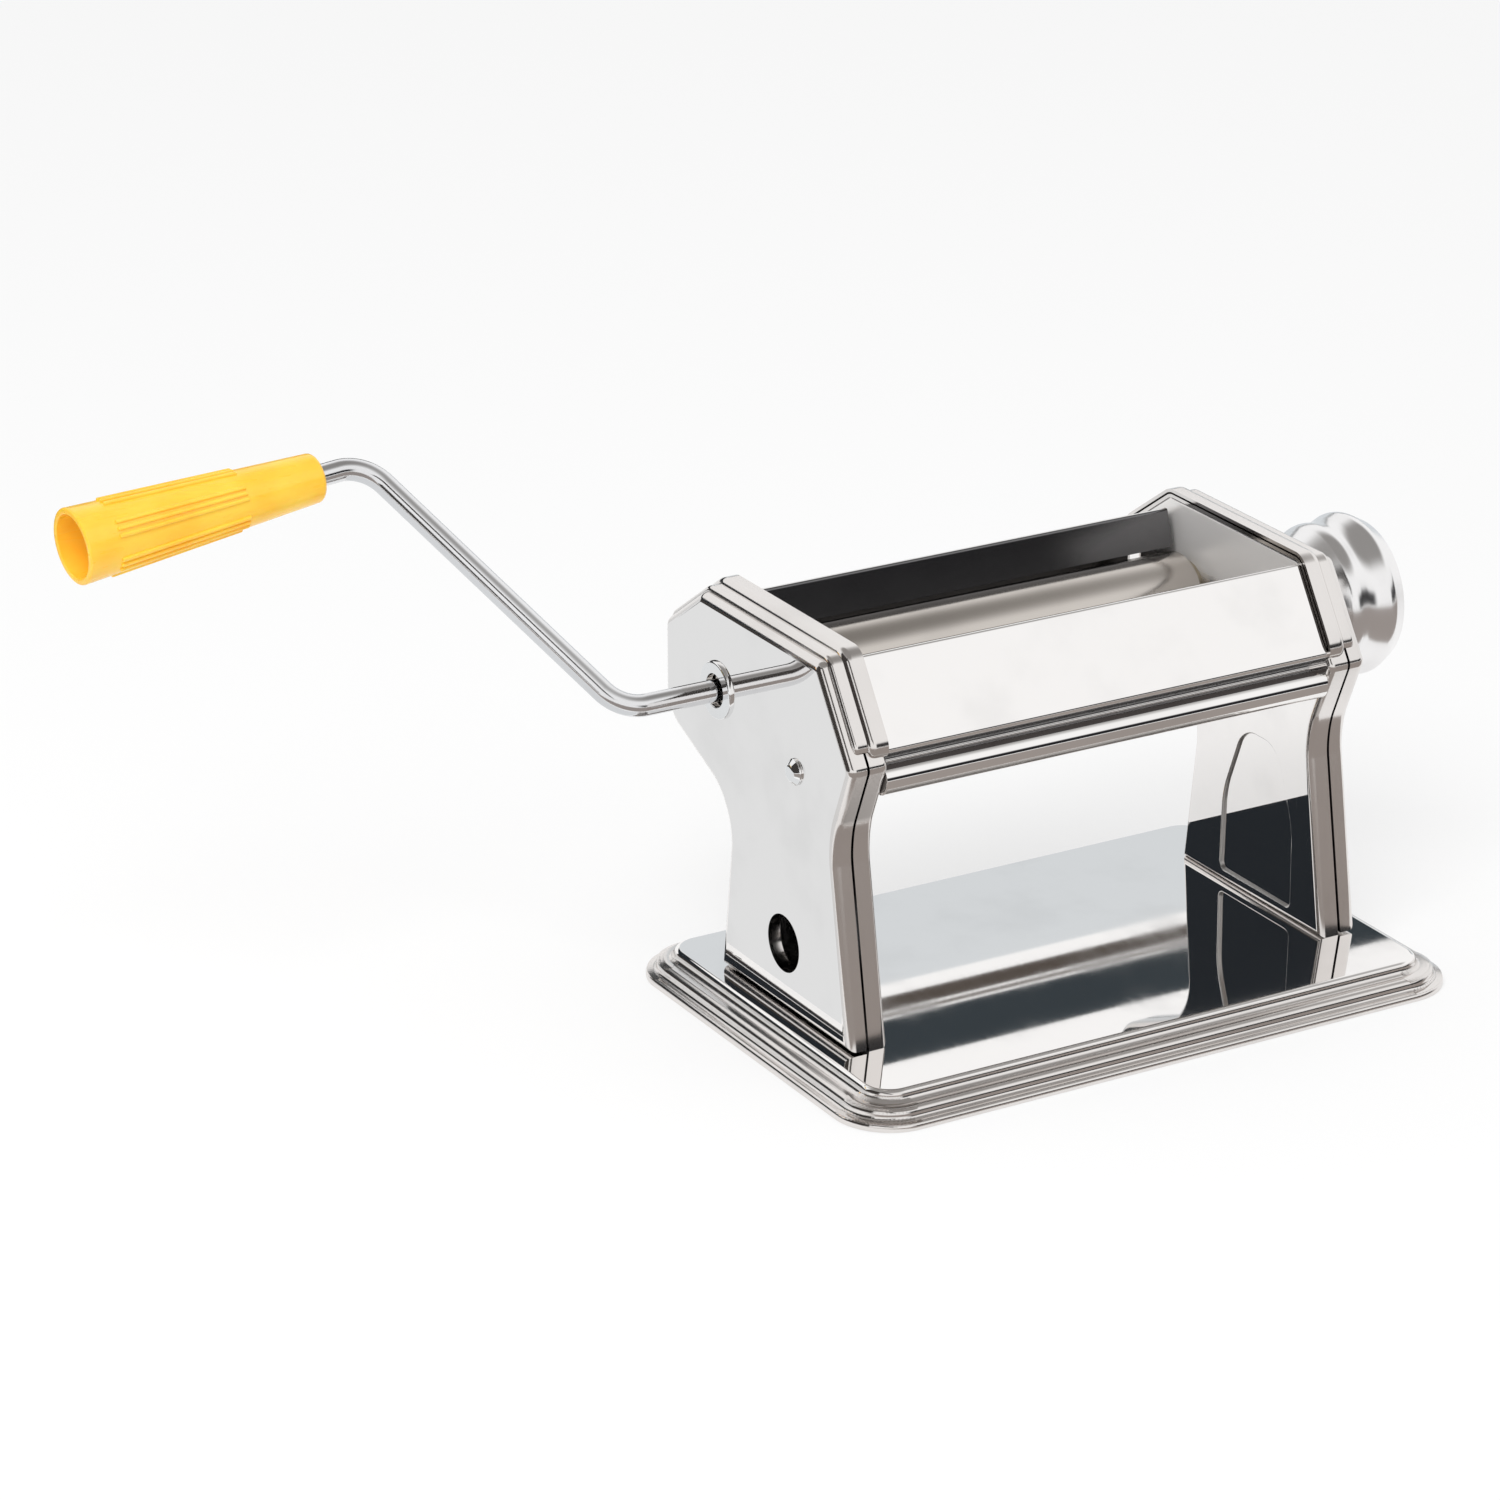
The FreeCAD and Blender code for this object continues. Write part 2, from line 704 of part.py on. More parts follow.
def front_cover():
    """A bent sheet: guide into the slot, sloping front panel, lip and rolled lower edge."""
    body = new_body("front_cover")
    y, z, radius = size.front_roll_y, size.front_roll_z, size.roll_radius
    path = [
        (size.front_guide_y, size.front_guide_z, 0.0),
        (size.front_edge_y, size.front_edge_z, size.sheet_bend),
        (size.front_low_y, size.front_low_z, size.sheet_bend),
        (size.front_lip_y, z + radius, size.lip_bend),
        (y - radius, z + radius, radius),
        (y - radius, z - radius, radius),
        (y + radius, z - radius, radius),
        (y + radius, z, 0.0),
    ]
    sketch = sketch_on(body, "sheet", "YZ_Plane")
    draw_loop(sketch, strip(path, size.cover_plate))
    pad(body, "sheet", sketch, "2 * sizes.inner_face", both_ways=True)


def rear_cover():
    """The same at the back, with an upright panel under a sloping shoulder."""
    body = new_body("rear_cover")
    y, z, radius = size.rear_roll_y, size.rear_roll_z, size.roll_radius
    path = [
        (y - radius, z, 0.0),
        (y - radius, z - radius, radius),
        (y + radius, z - radius, radius),
        (y + radius, z + radius, radius),
        (size.rear_lip_y, z + radius, size.lip_bend),
        (size.rear_shoulder_y, size.rear_low_z, size.sheet_bend),
        (size.rear_shoulder_y, size.rear_shoulder_z, size.shoulder_bend),
        (size.rear_edge_y, size.rear_edge_z, size.sheet_bend),
        (size.rear_guide_y, size.rear_guide_z, 0.0),
    ]
    sketch = sketch_on(body, "sheet", "YZ_Plane")
    draw_loop(sketch, strip(path, size.cover_plate))
    pad(body, "sheet", sketch, "2 * sizes.rear_cover_half", both_ways=True)


def tie_rod_places():
    """The rods that pass through the inner plates: rear roll, low front and scraper."""
    return [(size.rear_roll_y, size.rear_roll_z), (size.low_rod_y, size.low_rod_z),
            (size.scraper_rod_y, size.scraper_rod_z)]


def tie_rods():
    """Rods between the inner plates, thinner where they pass through; the front roll's is a plain bar."""
    end = size.inner_face + size.inner_sheet + size.nut_thick
    between = "2 * sizes.inner_face"
    front = rod("front_roll_bar", "sizes.rod_dia", -size.inner_face, between,
                size.front_roll_y, size.front_roll_z)
    bodies = [front]
    diameters = ("sizes.rod_dia", "sizes.scraper_rod_dia", "sizes.scraper_rod_dia")
    for number, (y, z) in enumerate(tie_rod_places()):
        middle = rod("tie_rod_middle_%d" % number, diameters[number], -size.inner_face, between, y, z)
        through = rod("tie_rod_ends_%d" % number, "sizes.rod_thread_dia", -end,
                      "2 * (sizes.inner_face + sizes.inner_sheet + sizes.nut_thick)", y, z)
        whole = doc.addObject("Part::Fuse", "tie_rod_%d" % number)
        whole.Base = middle
        whole.Tool = through
        bodies.append(whole)
    group("tie_rods", bodies)


def tie_rod_nuts():
    """One hexagon nut outside each inner plate on every rod."""
    nuts = []
    for number, (y, z) in enumerate(tie_rod_places()):
        for name, side in SIDES:
            hexagon = doc.addObject("Part::RegularPolygon", "nut_outline_%s_%d" % (name, number))
            hexagon.Polygon = 6
            hexagon.setExpression("Circumradius", "sizes.nut_width / sqrt(3)")
            block = doc.addObject("Part::Extrusion", "nut_block_%s_%d" % (name, number))
            block.Base = hexagon
            block.DirMode = "Custom"
            block.Dir = FreeCAD.Vector(0, 0, 1)
            block.Solid = True
            block.setExpression("LengthFwd", "sizes.nut_thick")
            hole = doc.addObject("Part::Cylinder", "nut_hole_%s_%d" % (name, number))
            hole.setExpression("Radius", "sizes.rod_thread_dia / 2 + sizes.seat_gap")
            hole.setExpression("Height", "sizes.nut_thick")
            nut = doc.addObject("Part::Cut", "nut_%s_%d" % (name, number))
            nut.Base = block
            nut.Tool = hole
            nut.Placement = at(side * (size.inner_face + size.inner_sheet), y, z,
                               FreeCAD.Rotation(FreeCAD.Vector(0, 1, 0), 90 * side))
            nuts.append(nut)
    group("tie_rod_nuts", nuts)


# Rollers, gears and bearings

def drive_roller():
    """The roller that the crank turns, with a flatted socket in its left end."""
    body = new_body("drive_roller", at(0, size.drive_y, size.drive_z))
    shaft = size.shaft_dia / 2
    groove = shaft - size.ring_groove
    left_ring, right_ring = ring_places()
    right_end = right_ring + 2 * size.ring_thick
    socket = size.crank_dia / 2 + size.running_gap
    socket_end = -size.shaft_end + size.crank_depth + size.socket_spare
    turned(body, "roller", [
        (-size.shaft_end, socket, 0), (socket_end, socket, 0), (socket_end, 0, 0),
        (right_end, 0, 0), (right_end, shaft, 0),
        (right_ring + size.ring_thick, shaft, 0), (right_ring + size.ring_thick, groove, 0),
        (right_ring, groove, 0), (right_ring, shaft, 0),
        (size.roller_half, shaft, 0), (size.roller_half, roller_radius, size.roller_edge),
        (-size.roller_half, roller_radius, size.roller_edge), (-size.roller_half, shaft, 0),
        (left_ring, shaft, 0), (left_ring, groove, 0),
        (left_ring - size.ring_thick, groove, 0), (left_ring - size.ring_thick, shaft, 0),
        (-size.shaft_end, shaft, 0),
    ])
    sketch = sketch_on(body, "key", "YZ_Plane", "-sizes.shaft_end")
    draw_key(sketch, socket, size.crank_flat, size.crank_turn)
    pad(body, "key", sketch, "sizes.crank_depth + sizes.socket_spare")


def draw_key(sketch, radius, depth, turn):
    """The slice of metal that makes a round hole flat on the side at an angle."""
    out = FreeCAD.Vector(math.cos(math.radians(turn)), math.sin(math.radians(turn)), 0)
    side = FreeCAD.Vector(-out.y, out.x, 0)
    flat = radius - depth
    edge = math.sqrt(radius ** 2 - flat ** 2)
    start = out * flat - side * edge
    end = out * flat + side * edge
    sketch.addGeometry(Part.LineSegment(start, end))
    sketch.addGeometry(Part.Arc(end, out * (radius + depth), start))


def ring_places():
    """Where the retaining rings of the drive shaft start, left and right."""
    right = size.inner_face + size.inner_sheet + size.bush_sleeve
    return -(size.gear_outer + size.running_gap), right + size.running_gap


def flanged_bush(name, side, y, z, inside):
    """A bush in an inner plate, its flange against the plate's roller side or its cover side."""
    body = new_body(name, at(0, y, z))
    bore = size.shaft_dia / 2 + size.running_gap
    outer = bore + size.bush_wall
    flange = outer + size.bush_collar
    plate = size.inner_face + size.inner_sheet
    if inside:
        ends = (plate + size.bush_sleeve, size.inner_face, size.inner_face - size.bush_flange)
    else:
        ends = (size.inner_face, plate, plate + size.bush_flange)
    tip, seat, back = [side * place for place in ends]
    turned(body, "bush", [
        (tip, bore, 0), (back, bore, 0), (back, flange, 0),
        (seat, flange, 0), (seat, outer, 0), (tip, outer, 0),
    ])
    return body


def drive_bushes():
    pair = [flanged_bush("drive_bush_" + name, side, size.drive_y, size.drive_z, inside=True)
            for name, side in SIDES]
    group("drive_bushes", pair)


def drive_rings():
    rings = []
    for number, (side, place) in enumerate(zip((-1, 1), ring_places())):
        body = new_body("drive_ring_%d" % number, at(0, size.drive_y, size.drive_z))
        bore = size.shaft_dia - 2 * size.ring_groove + 2 * size.seat_gap
        outer = size.shaft_dia + 2 * size.ring_height
        turned(body, "ring", tube(place, place + side * size.ring_thick, bore, outer))
        rings.append(body)
    group("drive_rings", rings)


def gear(name, y, z, bore, first_tooth):
    """A spur gear with long teeth, which stay in mesh as the rollers move apart."""
    body = new_body(name, at(0, y, z))
    sketch = sketch_on(body, "teeth", "YZ_Plane", "-sizes.gear_outer")
    radii = (
        (root_radius, -size.tooth_root_width), (pitch_radius, -size.tooth_width),
        (tip_radius, -size.tooth_tip_width), (tip_radius, size.tooth_tip_width),
        (pitch_radius, size.tooth_width), (root_radius, size.tooth_root_width),
    )
    points = []
    for tooth in range(TEETH):
        middle = first_tooth + 2 * math.pi * tooth / TEETH
        for radius, width in radii:
            angle = middle + width / 2 / radius
            points.append((radius * math.cos(angle), radius * math.sin(angle), 0.0))
    draw_loop(sketch, points)
    draw_circle(sketch, 0, 0, bore)
    pad(body, "teeth", sketch, "sizes.gear_outer - sizes.gear_inner")


def idle_roller():
    """The roller that the knob shifts: a tube with trunnions, on bushes round the spindle."""
    body = new_body("idle_roller", at(0, idle_y, idle_z))
    bore = size.idle_bush_dia / 2
    inner = size.eccentric_dia / 2 + size.spindle_room
    trunnion = size.trunnion_dia / 2
    left = -(size.gear_outer + size.running_gap)
    right = size.roller_half + size.side_gap + size.arm_thick
    turned(body, "roller", [
        (left, bore, 0), (left + size.idle_bush_length, bore, 0),
        (left + size.idle_bush_length, inner, 0), (right - size.idle_bush_length, inner, 0),
        (right - size.idle_bush_length, bore, 0), (right, bore, 0),
        (right, trunnion, 0), (size.roller_half, trunnion, 0),
        (size.roller_half, roller_radius, size.roller_edge),
        (-size.roller_half, roller_radius, size.roller_edge),
        (-size.roller_half, trunnion, 0), (left, trunnion, 0),
    ])


def idle_roller_bushes():
    left = -(size.gear_outer + size.running_gap)
    right = size.roller_half + size.side_gap + size.arm_thick
    pair = []
    for name, start in (("left", left), ("right", right - size.idle_bush_length)):
        body = new_body("idle_bush_" + name, at(0, idle_y, idle_z))
        bore = size.eccentric_dia + 2 * size.running_gap
        outer = size.idle_bush_dia - 2 * size.seat_gap
        turned(body, "bush", tube(start, start + size.idle_bush_length, bore, outer))
        pair.append(body)
    group("idle_roller_bushes", pair)


def eccentric_spindle():
    """The adjusting spindle: its long middle lies off the axis on which its ends turn."""
    body = new_body("eccentric_spindle", at(0, idle_y, spindle_z))
    shoulder = size.roller_half + 2 * size.side_gap + size.arm_thick
    groove = size.shaft_dia / 2 - size.ring_groove
    ring = spindle_ring_place()
    journal = size.shaft_dia / 2
    seat = size.knob_seat_dia / 2
    thread = size.knob_screw_dia / 2
    thread_end = size.seat_end - size.knob_screw_depth
    turned(body, "journal", [
        (shoulder, 0, 0), (thread_end, 0, 0), (thread_end, thread, 0), (size.seat_end, thread, 0),
        (size.seat_end, seat, 0), (index_face, seat, 0), (index_face, journal, 0),
        (ring + size.ring_thick, journal, 0), (ring + size.ring_thick, groove, 0),
        (ring, groove, 0), (ring, journal, 0), (shoulder, journal, 0),
    ])
    sketch = sketch_on(body, "eccentric", "YZ_Plane", "-sizes.bridge_inner + sizes.side_gap")
    draw_circle(sketch, 0, -size.throw, size.eccentric_dia)
    pad(body, "eccentric", sketch,
        "sizes.bridge_inner + sizes.side_gap + sizes.roller_half + sizes.arm_thick")
    sketch = sketch_on(body, "pilot", "YZ_Plane", "-sizes.bridge_inner - sizes.bridge_sheet")
    draw_circle(sketch, 0, 0, size.pilot_dia)
    pad(body, "pilot", sketch, "sizes.bridge_sheet + 2 * sizes.side_gap")
    sketch = sketch_on(body, "flat", "YZ_Plane", "sizes.seat_end")
    flat = seat - size.knob_flat
    draw_loop(sketch, [(-journal, flat, 0), (journal, flat, 0),
                       (journal, journal, 0), (-journal, journal, 0)])
    pocket(body, "flat", sketch, "sizes.seat_end - sizes.index_face")


def spindle_ring_place():
    return size.inner_face + size.inner_sheet + size.bush_flange + size.running_gap


def spindle_bush():
    flanged_bush("spindle_bush", 1, idle_y, spindle_z, inside=False)


def spindle_ring():
    """The retaining ring that keeps the spindle in its bush."""
    body = new_body("spindle_ring", at(0, idle_y, spindle_z))
    start = spindle_ring_place()
    bore = size.shaft_dia - 2 * size.ring_groove + 2 * size.seat_gap
    turned(body, "ring", tube(start, start + size.ring_thick, bore, size.shaft_dia + 2 * size.ring_height))


def bearing_bridge():
    """A bent strap over the idle gear that holds the spindle's far end and takes the cover's screw."""
    body = new_body("bearing_bridge")
    plate = -(size.inner_face + size.inner_sheet)
    sheet_x = plate - size.bridge_sheet
    inner = -size.bridge_inner
    outer = inner - size.bridge_sheet
    room = tip_radius + size.throw + size.bridge_room + size.bridge_sheet
    low, high = spindle_z - room, spindle_z + room
    sketch = sketch_on(body, "strap", "XZ_Plane", "-(%s) - sizes.bridge_rear" % idle_y)
    draw_loop(sketch, [
        (plate, low - size.bridge_foot, 0), (sheet_x, low - size.bridge_foot, 0), (sheet_x, low, 0),
        (outer, low, size.bridge_bend), (outer, high, size.bridge_bend),
        (sheet_x, high, 0), (sheet_x, high + size.bridge_foot, 0),
        (plate, high + size.bridge_foot, 0), (plate, high - size.bridge_sheet, 0),
        (inner, high - size.bridge_sheet, 0), (inner, low + size.bridge_sheet, 0),
        (plate, low + size.bridge_sheet, 0),
    ])
    pad(body, "strap", sketch, "sizes.bridge_rear + sizes.bridge_front")
    holes = [(idle_y, spindle_z, size.pilot_dia + 2 * size.running_gap),
             cover_screw_place(-1) + (size.screw_dia + 2 * size.seat_gap,)]
    side_hole(body, "holes", -1, holes, "sizes.bridge_inner", "sizes.bridge_inner + sizes.bridge_sheet")


# Scrapers

def blade_start(direction):
    """Where a scraper's edge lies, from its roller's axis; direction is +1 towards the rear."""
    angle = math.radians(size.blade_angle)
    reach = roller_radius + size.blade_gap
    return direction * reach * math.cos(angle), -reach * math.sin(angle)


def blade_outline(direction):
    """The section of a scraper blade that slopes down and away from the slot."""
    slope = math.radians(size.blade_slope)
    along = (-direction * math.cos(slope), -math.sin(slope))
    across = (-along[1] * direction, along[0] * direction)
    y, z = blade_start(direction)
    far_y, far_z = y + along[0] * size.blade_length, z + along[1] * size.blade_length
    thick = size.blade_thick
    return [(y, z, 0), (far_y, far_z, 0),
            (far_y + across[0] * thick, far_z + across[1] * thick, 0),
            (y + across[0] * thick, z + across[1] * thick, 0)]


def front_scraper():
    body = new_body("front_scraper", at(0, idle_y, idle_z))
    sketch = sketch_on(body, "blade", "YZ_Plane")
    draw_loop(sketch, blade_outline(1))
    pad(body, "blade", sketch, "2 * (sizes.roller_half + sizes.side_gap)", both_ways=True)


def scraper_arms():
    """Two arms that ride on the idle roller's trunnions and hold the front blade."""
    bore = size.trunnion_dia + 2 * size.running_gap
    outer = bore + 2 * size.arm_wall
    top, far = blade_outline(1)[0], blade_outline(1)[1]
    wall = size.arm_wall
    pair = []
    for name, side in SIDES:
        body = new_body("scraper_arm_" + name, at(0, idle_y, idle_z))
        near = "sizes.roller_half + sizes.side_gap"
        reach = near + " + sizes.arm_thick"
        low, high, length = span(side, near, reach)
        sketch = sketch_on(body, "ring", "YZ_Plane", low)
        draw_circle(sketch, 0, 0, outer)
        pad(body, "ring", sketch, length)
        tail = [(-outer / 2, 0, 0), (far[0] - wall, far[1], wall / 2), (far[0], far[1] - wall, wall / 2),
                (top[0], top[1] - wall, 0), (outer / 2 - wall, 0, 0)]
        side_pad(body, "tail", side, [tail], near, reach)
        side_hole(body, "bore", side, [(0, 0, bore)], near, reach)
        pair.append(body)
    group("scraper_arms", pair)


def rear_scraper():
    """The drive roller's blade, hung on its tie rod by a curled edge."""
    body = new_body("rear_scraper", at(0, size.drive_y, size.drive_z))
    rod_y, rod_z = size.scraper_rod_y - size.drive_y, size.scraper_rod_z - size.drive_z
    bore = size.scraper_rod_dia + 2 * size.running_gap
    length = "2 * (sizes.inner_face - sizes.side_gap)"
    sketch = sketch_on(body, "curl", "YZ_Plane")
    draw_circle(sketch, rod_y, rod_z, bore + 2 * size.blade_thick)
    pad(body, "curl", sketch, length, both_ways=True)
    sketch = sketch_on(body, "blade", "YZ_Plane")
    draw_loop(sketch, blade_outline(-1))
    pad(body, "blade", sketch, length, both_ways=True)
    sketch = sketch_on(body, "bore", "YZ_Plane", "sizes.inner_face")
    draw_circle(sketch, rod_y, rod_z, bore)
    pocket(body, "bore", sketch, "2 * sizes.inner_face")


# Crank

def crank_bush():
    """The ring round the crank's hole in the left cover."""
    body = new_body("crank_bush", at(0, size.drive_y, size.drive_z))
    face = -size.cover_face
    tip = face - size.crank_bush_lip
    hole, lip = size.crank_bush_hole / 2, size.crank_bush_dia / 2
    neck = size.crank_bush_neck / 2 - size.seat_gap
    turned(body, "ring", [
        (face + size.cover_sheet, hole, 0), (face + size.cover_sheet, neck, 0), (face, neck, 0),
        (face, lip, 0), (tip, lip, size.crank_bush_round), (tip, hole, size.crank_hole_round),
    ])


def crank_rotation():
    return FreeCAD.Rotation(FreeCAD.Vector(1, 0, 0), size.crank_turn)


def crank_points():
    """The crank's route in its own plane: along the roller's axis, and out from it."""
    lean = math.radians(size.grip_lean)
    inside = size.grip_start + size.grip_floor + size.washer_thick + size.rod_past_washer
    corner_x, corner_y = size.crank_reach, size.crank_radius
    return [
        (-size.shaft_end + size.crank_depth, 0.0),
        (size.crank_elbow, 0.0),
        (corner_x, corner_y),
        (corner_x - inside * math.cos(lean), corner_y - inside * math.sin(lean)),
    ]


def crank_rod():
    """A bent round bar with a flat where it enters the roller's socket."""
    body = new_body("crank_rod", at(0, size.drive_y, size.drive_z, crank_rotation()))
    points = [(x, y, size.crank_bend) for x, y in crank_points()]
    route = sketch_on(body, "route", "XY_Plane")
    last = FreeCAD.Vector(points[0][0], points[0][1], 0)
    for before, here, after in zip(points, points[1:], points[2:]):
        start, middle, end = corner(before, here, after)
        route.addGeometry(Part.LineSegment(last, start))
        route.addGeometry(Part.Arc(start, middle, end))
        last = end
    route.addGeometry(Part.LineSegment(last, FreeCAD.Vector(points[-1][0], points[-1][1], 0)))
    section = sketch_on(body, "section", "YZ_Plane", "-sizes.shaft_end + sizes.crank_depth")
    draw_circle(section, 0, 0, size.crank_dia)
    bar = body.newObject("PartDesign::AdditivePipe", "crank_rod_bar")
    bar.Profile = section
    bar.Spine = route
    sketch = sketch_on(body, "flat", "YZ_Plane", "-sizes.shaft_end + sizes.crank_depth")
    flat = size.crank_dia / 2 - size.crank_flat
    wide = size.crank_dia
    draw_loop(sketch, [(flat, -wide, 0), (wide, -wide, 0), (wide, wide, 0), (flat, wide, 0)])
    pocket(body, "flat", sketch, "sizes.crank_depth + sizes.side_gap")


def grip_place():
    """The grip's small end, with its own X axis along it."""
    lean = math.radians(size.grip_lean)
    along = FreeCAD.Vector(-math.cos(lean), -math.sin(lean), 0)
    start = FreeCAD.Vector(size.crank_reach, size.crank_radius, 0) + along * size.grip_start
    turn = crank_rotation()
    centre = turn.multVec(start) + FreeCAD.Vector(0, size.drive_y, size.drive_z)
    return FreeCAD.Placement(centre, FreeCAD.Rotation(FreeCAD.Vector(1, 0, 0), turn.multVec(along)))


def grip_radius(distance):
    return (size.grip_small + (size.grip_large - size.grip_small) * distance / size.grip_length) / 2


def crank_grip():
    """A tapered hollow handle, open at its wide end, with groups of fine ribs along it."""
    body = new_body("crank_grip", grip_place())
    bore = size.crank_dia / 2 + size.running_gap
    floor, length, wall = size.grip_floor, size.grip_length, size.grip_wall
    turned(body, "handle", [
        (0, bore, 0), (floor, bore, 0), (floor, grip_radius(floor) - wall, size.grip_floor_round),
        (length, grip_radius(length) - wall, size.grip_mouth_round),
        (length, grip_radius(length), size.grip_rim_round), (0, grip_radius(0), size.grip_end_round),
    ])
    axis = [feature for feature in body.Origin.OriginFeatures if feature.Role == "X_Axis"][0]
    start, end = size.rib_start, size.rib_end
    for number in range(RIBS_IN_GROUP):
        turn = size.rib_pitch * (number - (RIBS_IN_GROUP - 1) / 2)
        sketch = sketch_on(body, "rib_%d" % number, "XY_Plane")
        sketch.AttachmentOffset = at(0, 0, 0, FreeCAD.Rotation(FreeCAD.Vector(1, 0, 0), turn))
        draw_loop(sketch, [
            (start, grip_radius(start) - size.rib_root, 0), (end, grip_radius(end) - size.rib_root, 0),
            (end, grip_radius(end) + size.rib_height, 0), (start, grip_radius(start) + size.rib_height, 0),
        ])
        rib = pad(body, "rib_%d" % number, sketch, "sizes.rib_width", both_ways=True)
        doc.recompute()
        pattern = body.newObject("PartDesign::PolarPattern", "crank_grip_ribs_%d" % number)
        pattern.Originals = [rib]
        pattern.Axis = (axis, [""])
        pattern.Angle = 360
        pattern.Occurrences = RIB_GROUPS
        body.Tip = pattern


def grip_washer():
    """The push-on washer that keeps the grip on the rod."""
    body = new_body("grip_washer", grip_place())
    start = size.grip_floor + size.side_gap
    bore = size.crank_dia + 2 * size.seat_gap
    turned(body, "washer", tube(start, start + size.washer_thick, bore, size.washer_dia))


# Adjusting knob

def index_plate():
    """A disc on the right cover with a dimple for each stop."""
    body = new_body("index_plate", at(0, idle_y, spindle_z))
    hole = size.shaft_dia + 2 * size.side_gap
    turned(body, "disc", tube(size.cover_face, index_face, hole, size.index_dia))
    sketch = sketch_on(body, "dimples", "YZ_Plane", "sizes.index_face")
    for stop in range(KNOB_STOPS):
        angle = math.pi / 2 + (stop - (KNOB_STOPS - 1) / 2) * math.radians(size.index_step)
        y, z = size.index_circle * math.cos(angle), size.index_circle * math.sin(angle)
        draw_circle(sketch, y, z, size.dimple_dia)
    pocket(body, "dimples", sketch, "sizes.dimple_depth")


def adjusting_knob():
    """A tulip shaped knob: hub, round shoulder, waist and rolled rim, dished at its end."""
    body = new_body("adjusting_knob", at(0, idle_y, spindle_z))
    seat = size.knob_seat_dia / 2 + size.running_gap
    end = knob_start + size.knob_length
    turned(body, "knob", [
        (knob_start, seat, 0), (knob_start + size.knob_floor, seat, 0),
        (knob_start + size.knob_floor, size.knob_cavity_dia / 2, 0),
        (end - size.knob_dish, size.knob_cavity_dia / 2, size.knob_cavity_round),
        (end - size.knob_dish, size.knob_dish_dia / 2, size.knob_dish_round),
        (end, size.knob_dish_dia / 2, size.knob_mouth_round),
        (end, size.knob_face_dia / 2, size.knob_face_round),
        (knob_start + size.knob_rim, size.knob_rim_dia / 2, size.knob_rim_round),
        (knob_start + size.knob_waist, size.knob_waist_dia / 2, size.knob_waist_round),
        (knob_start + size.knob_shoulder, size.knob_shoulder_dia / 2, size.knob_shoulder_round),
        (knob_start + size.knob_hub_length, size.knob_hub_dia / 2, size.knob_hub_round),
        (knob_start, size.knob_hub_dia / 2, size.knob_start_round),
    ])
    sketch = sketch_on(body, "key", "YZ_Plane", "sizes.knob_start")
    draw_key(sketch, seat, size.knob_flat, 90)
    pad(body, "key", sketch, "sizes.knob_floor")
    pin_end = "sizes.index_face + sizes.pin_gap + sizes.pin_length"
    sketch = sketch_on(body, "pin_hole", "YZ_Plane", pin_end)
    draw_circle(sketch, 0, size.index_circle, size.pin_dia + 2 * size.seat_gap)
    pocket(body, "pin_hole", sketch, "sizes.pin_length")


def index_pin():
    """The pin in the knob's hub that clicks over the dimples."""
    body = new_body("index_pin", at(0, idle_y, spindle_z + size.index_circle))
    start = index_face + size.pin_gap
    radius = size.pin_dia / 2
    turned(body, "pin", [(start, 0, 0), (start + size.pin_length, 0, 0),
                         (start + size.pin_length, radius, 0), (start, radius, size.pin_round)])


def knob_screw():
    """The screw in the spindle's end that the knob's spring pushes against."""
    body = new_body("knob_screw", at(0, idle_y, spindle_z))
    shank = size.knob_screw_dia / 2 - size.seat_gap
    head = size.knob_screw_head / 2
    tip = size.seat_end - size.knob_screw_depth
    end = size.seat_end + size.knob_screw_thick
    turned(body, "screw", [
        (tip, 0, 0), (end, 0, 0), (end, head, size.knob_screw_round),
        (size.seat_end, head, 0), (size.seat_end, shank, 0), (tip, shank, 0),
    ])


def knob_spring():
    """A coil between the knob's floor and the screw's head, of arcs a quarter turn long."""
    start = knob_start + size.knob_floor + size.spring_wire / 2 + size.running_gap
    end = size.seat_end - size.spring_wire / 2 - size.running_gap
    radius = size.spring_dia / 2

    def place(turns):
        angle = 2 * math.pi * turns
        x = start + (end - start) * turns / size.spring_turns
        return FreeCAD.Vector(x, radius * math.cos(angle), radius * math.sin(angle))

    quarter = 0.25
    arcs = []
    for number in range(int(round(size.spring_turns / quarter))):
        turns = number * quarter
        arcs.append(Part.Arc(place(turns), place(turns + quarter / 2), place(turns + quarter)).toShape())
    route = Part.Wire(arcs)
    heading = arcs[0].tangentAt(arcs[0].FirstParameter)
    section = Part.Wire(Part.makeCircle(size.spring_wire / 2, place(0), heading))
    coil = doc.addObject("Part::Feature", "knob_spring")
    coil.Label = "knob_spring"
    coil.Shape = route.makePipeShell([section], True, False)
    coil.Placement = at(0, idle_y, spindle_z)
    parts.append(coil)
    print("knob spring, least gap between its turns: %.2f mm"
          % ((end - start) / size.spring_turns - size.spring_wire))


# Screws

def cover_screws():
    """One domed screw through each side cover."""
    pair = []
    for name, side in SIDES:
        body = new_body("cover_screw_" + name, at(0, *cover_screw_place(side)))
        seat = side * size.cover_face
        tip = seat - side * size.cover_screw_length
        top = seat + side * size.screw_head_thick
        shank, head = size.screw_dia / 2, size.screw_head / 2
        turned(body, "screw", [
            (tip, 0, 0), (tip, shank, 0), (seat, shank, 0),
            (seat, head, 0), (top, head, size.cover_screw_round), (top, 0, 0),
        ])
        pair.append(body)
    group("cover_screws", pair)


def cover_post():
    """The tapped post behind the right cover's screw."""
    body = new_body("cover_post", at(0, *cover_screw_place(1)))
    low, high = size.inner_face + size.inner_sheet, size.cover_face - size.cover_sheet
    turned(body, "post", tube(low, high, size.screw_dia + 2 * size.seat_gap, size.post_dia))


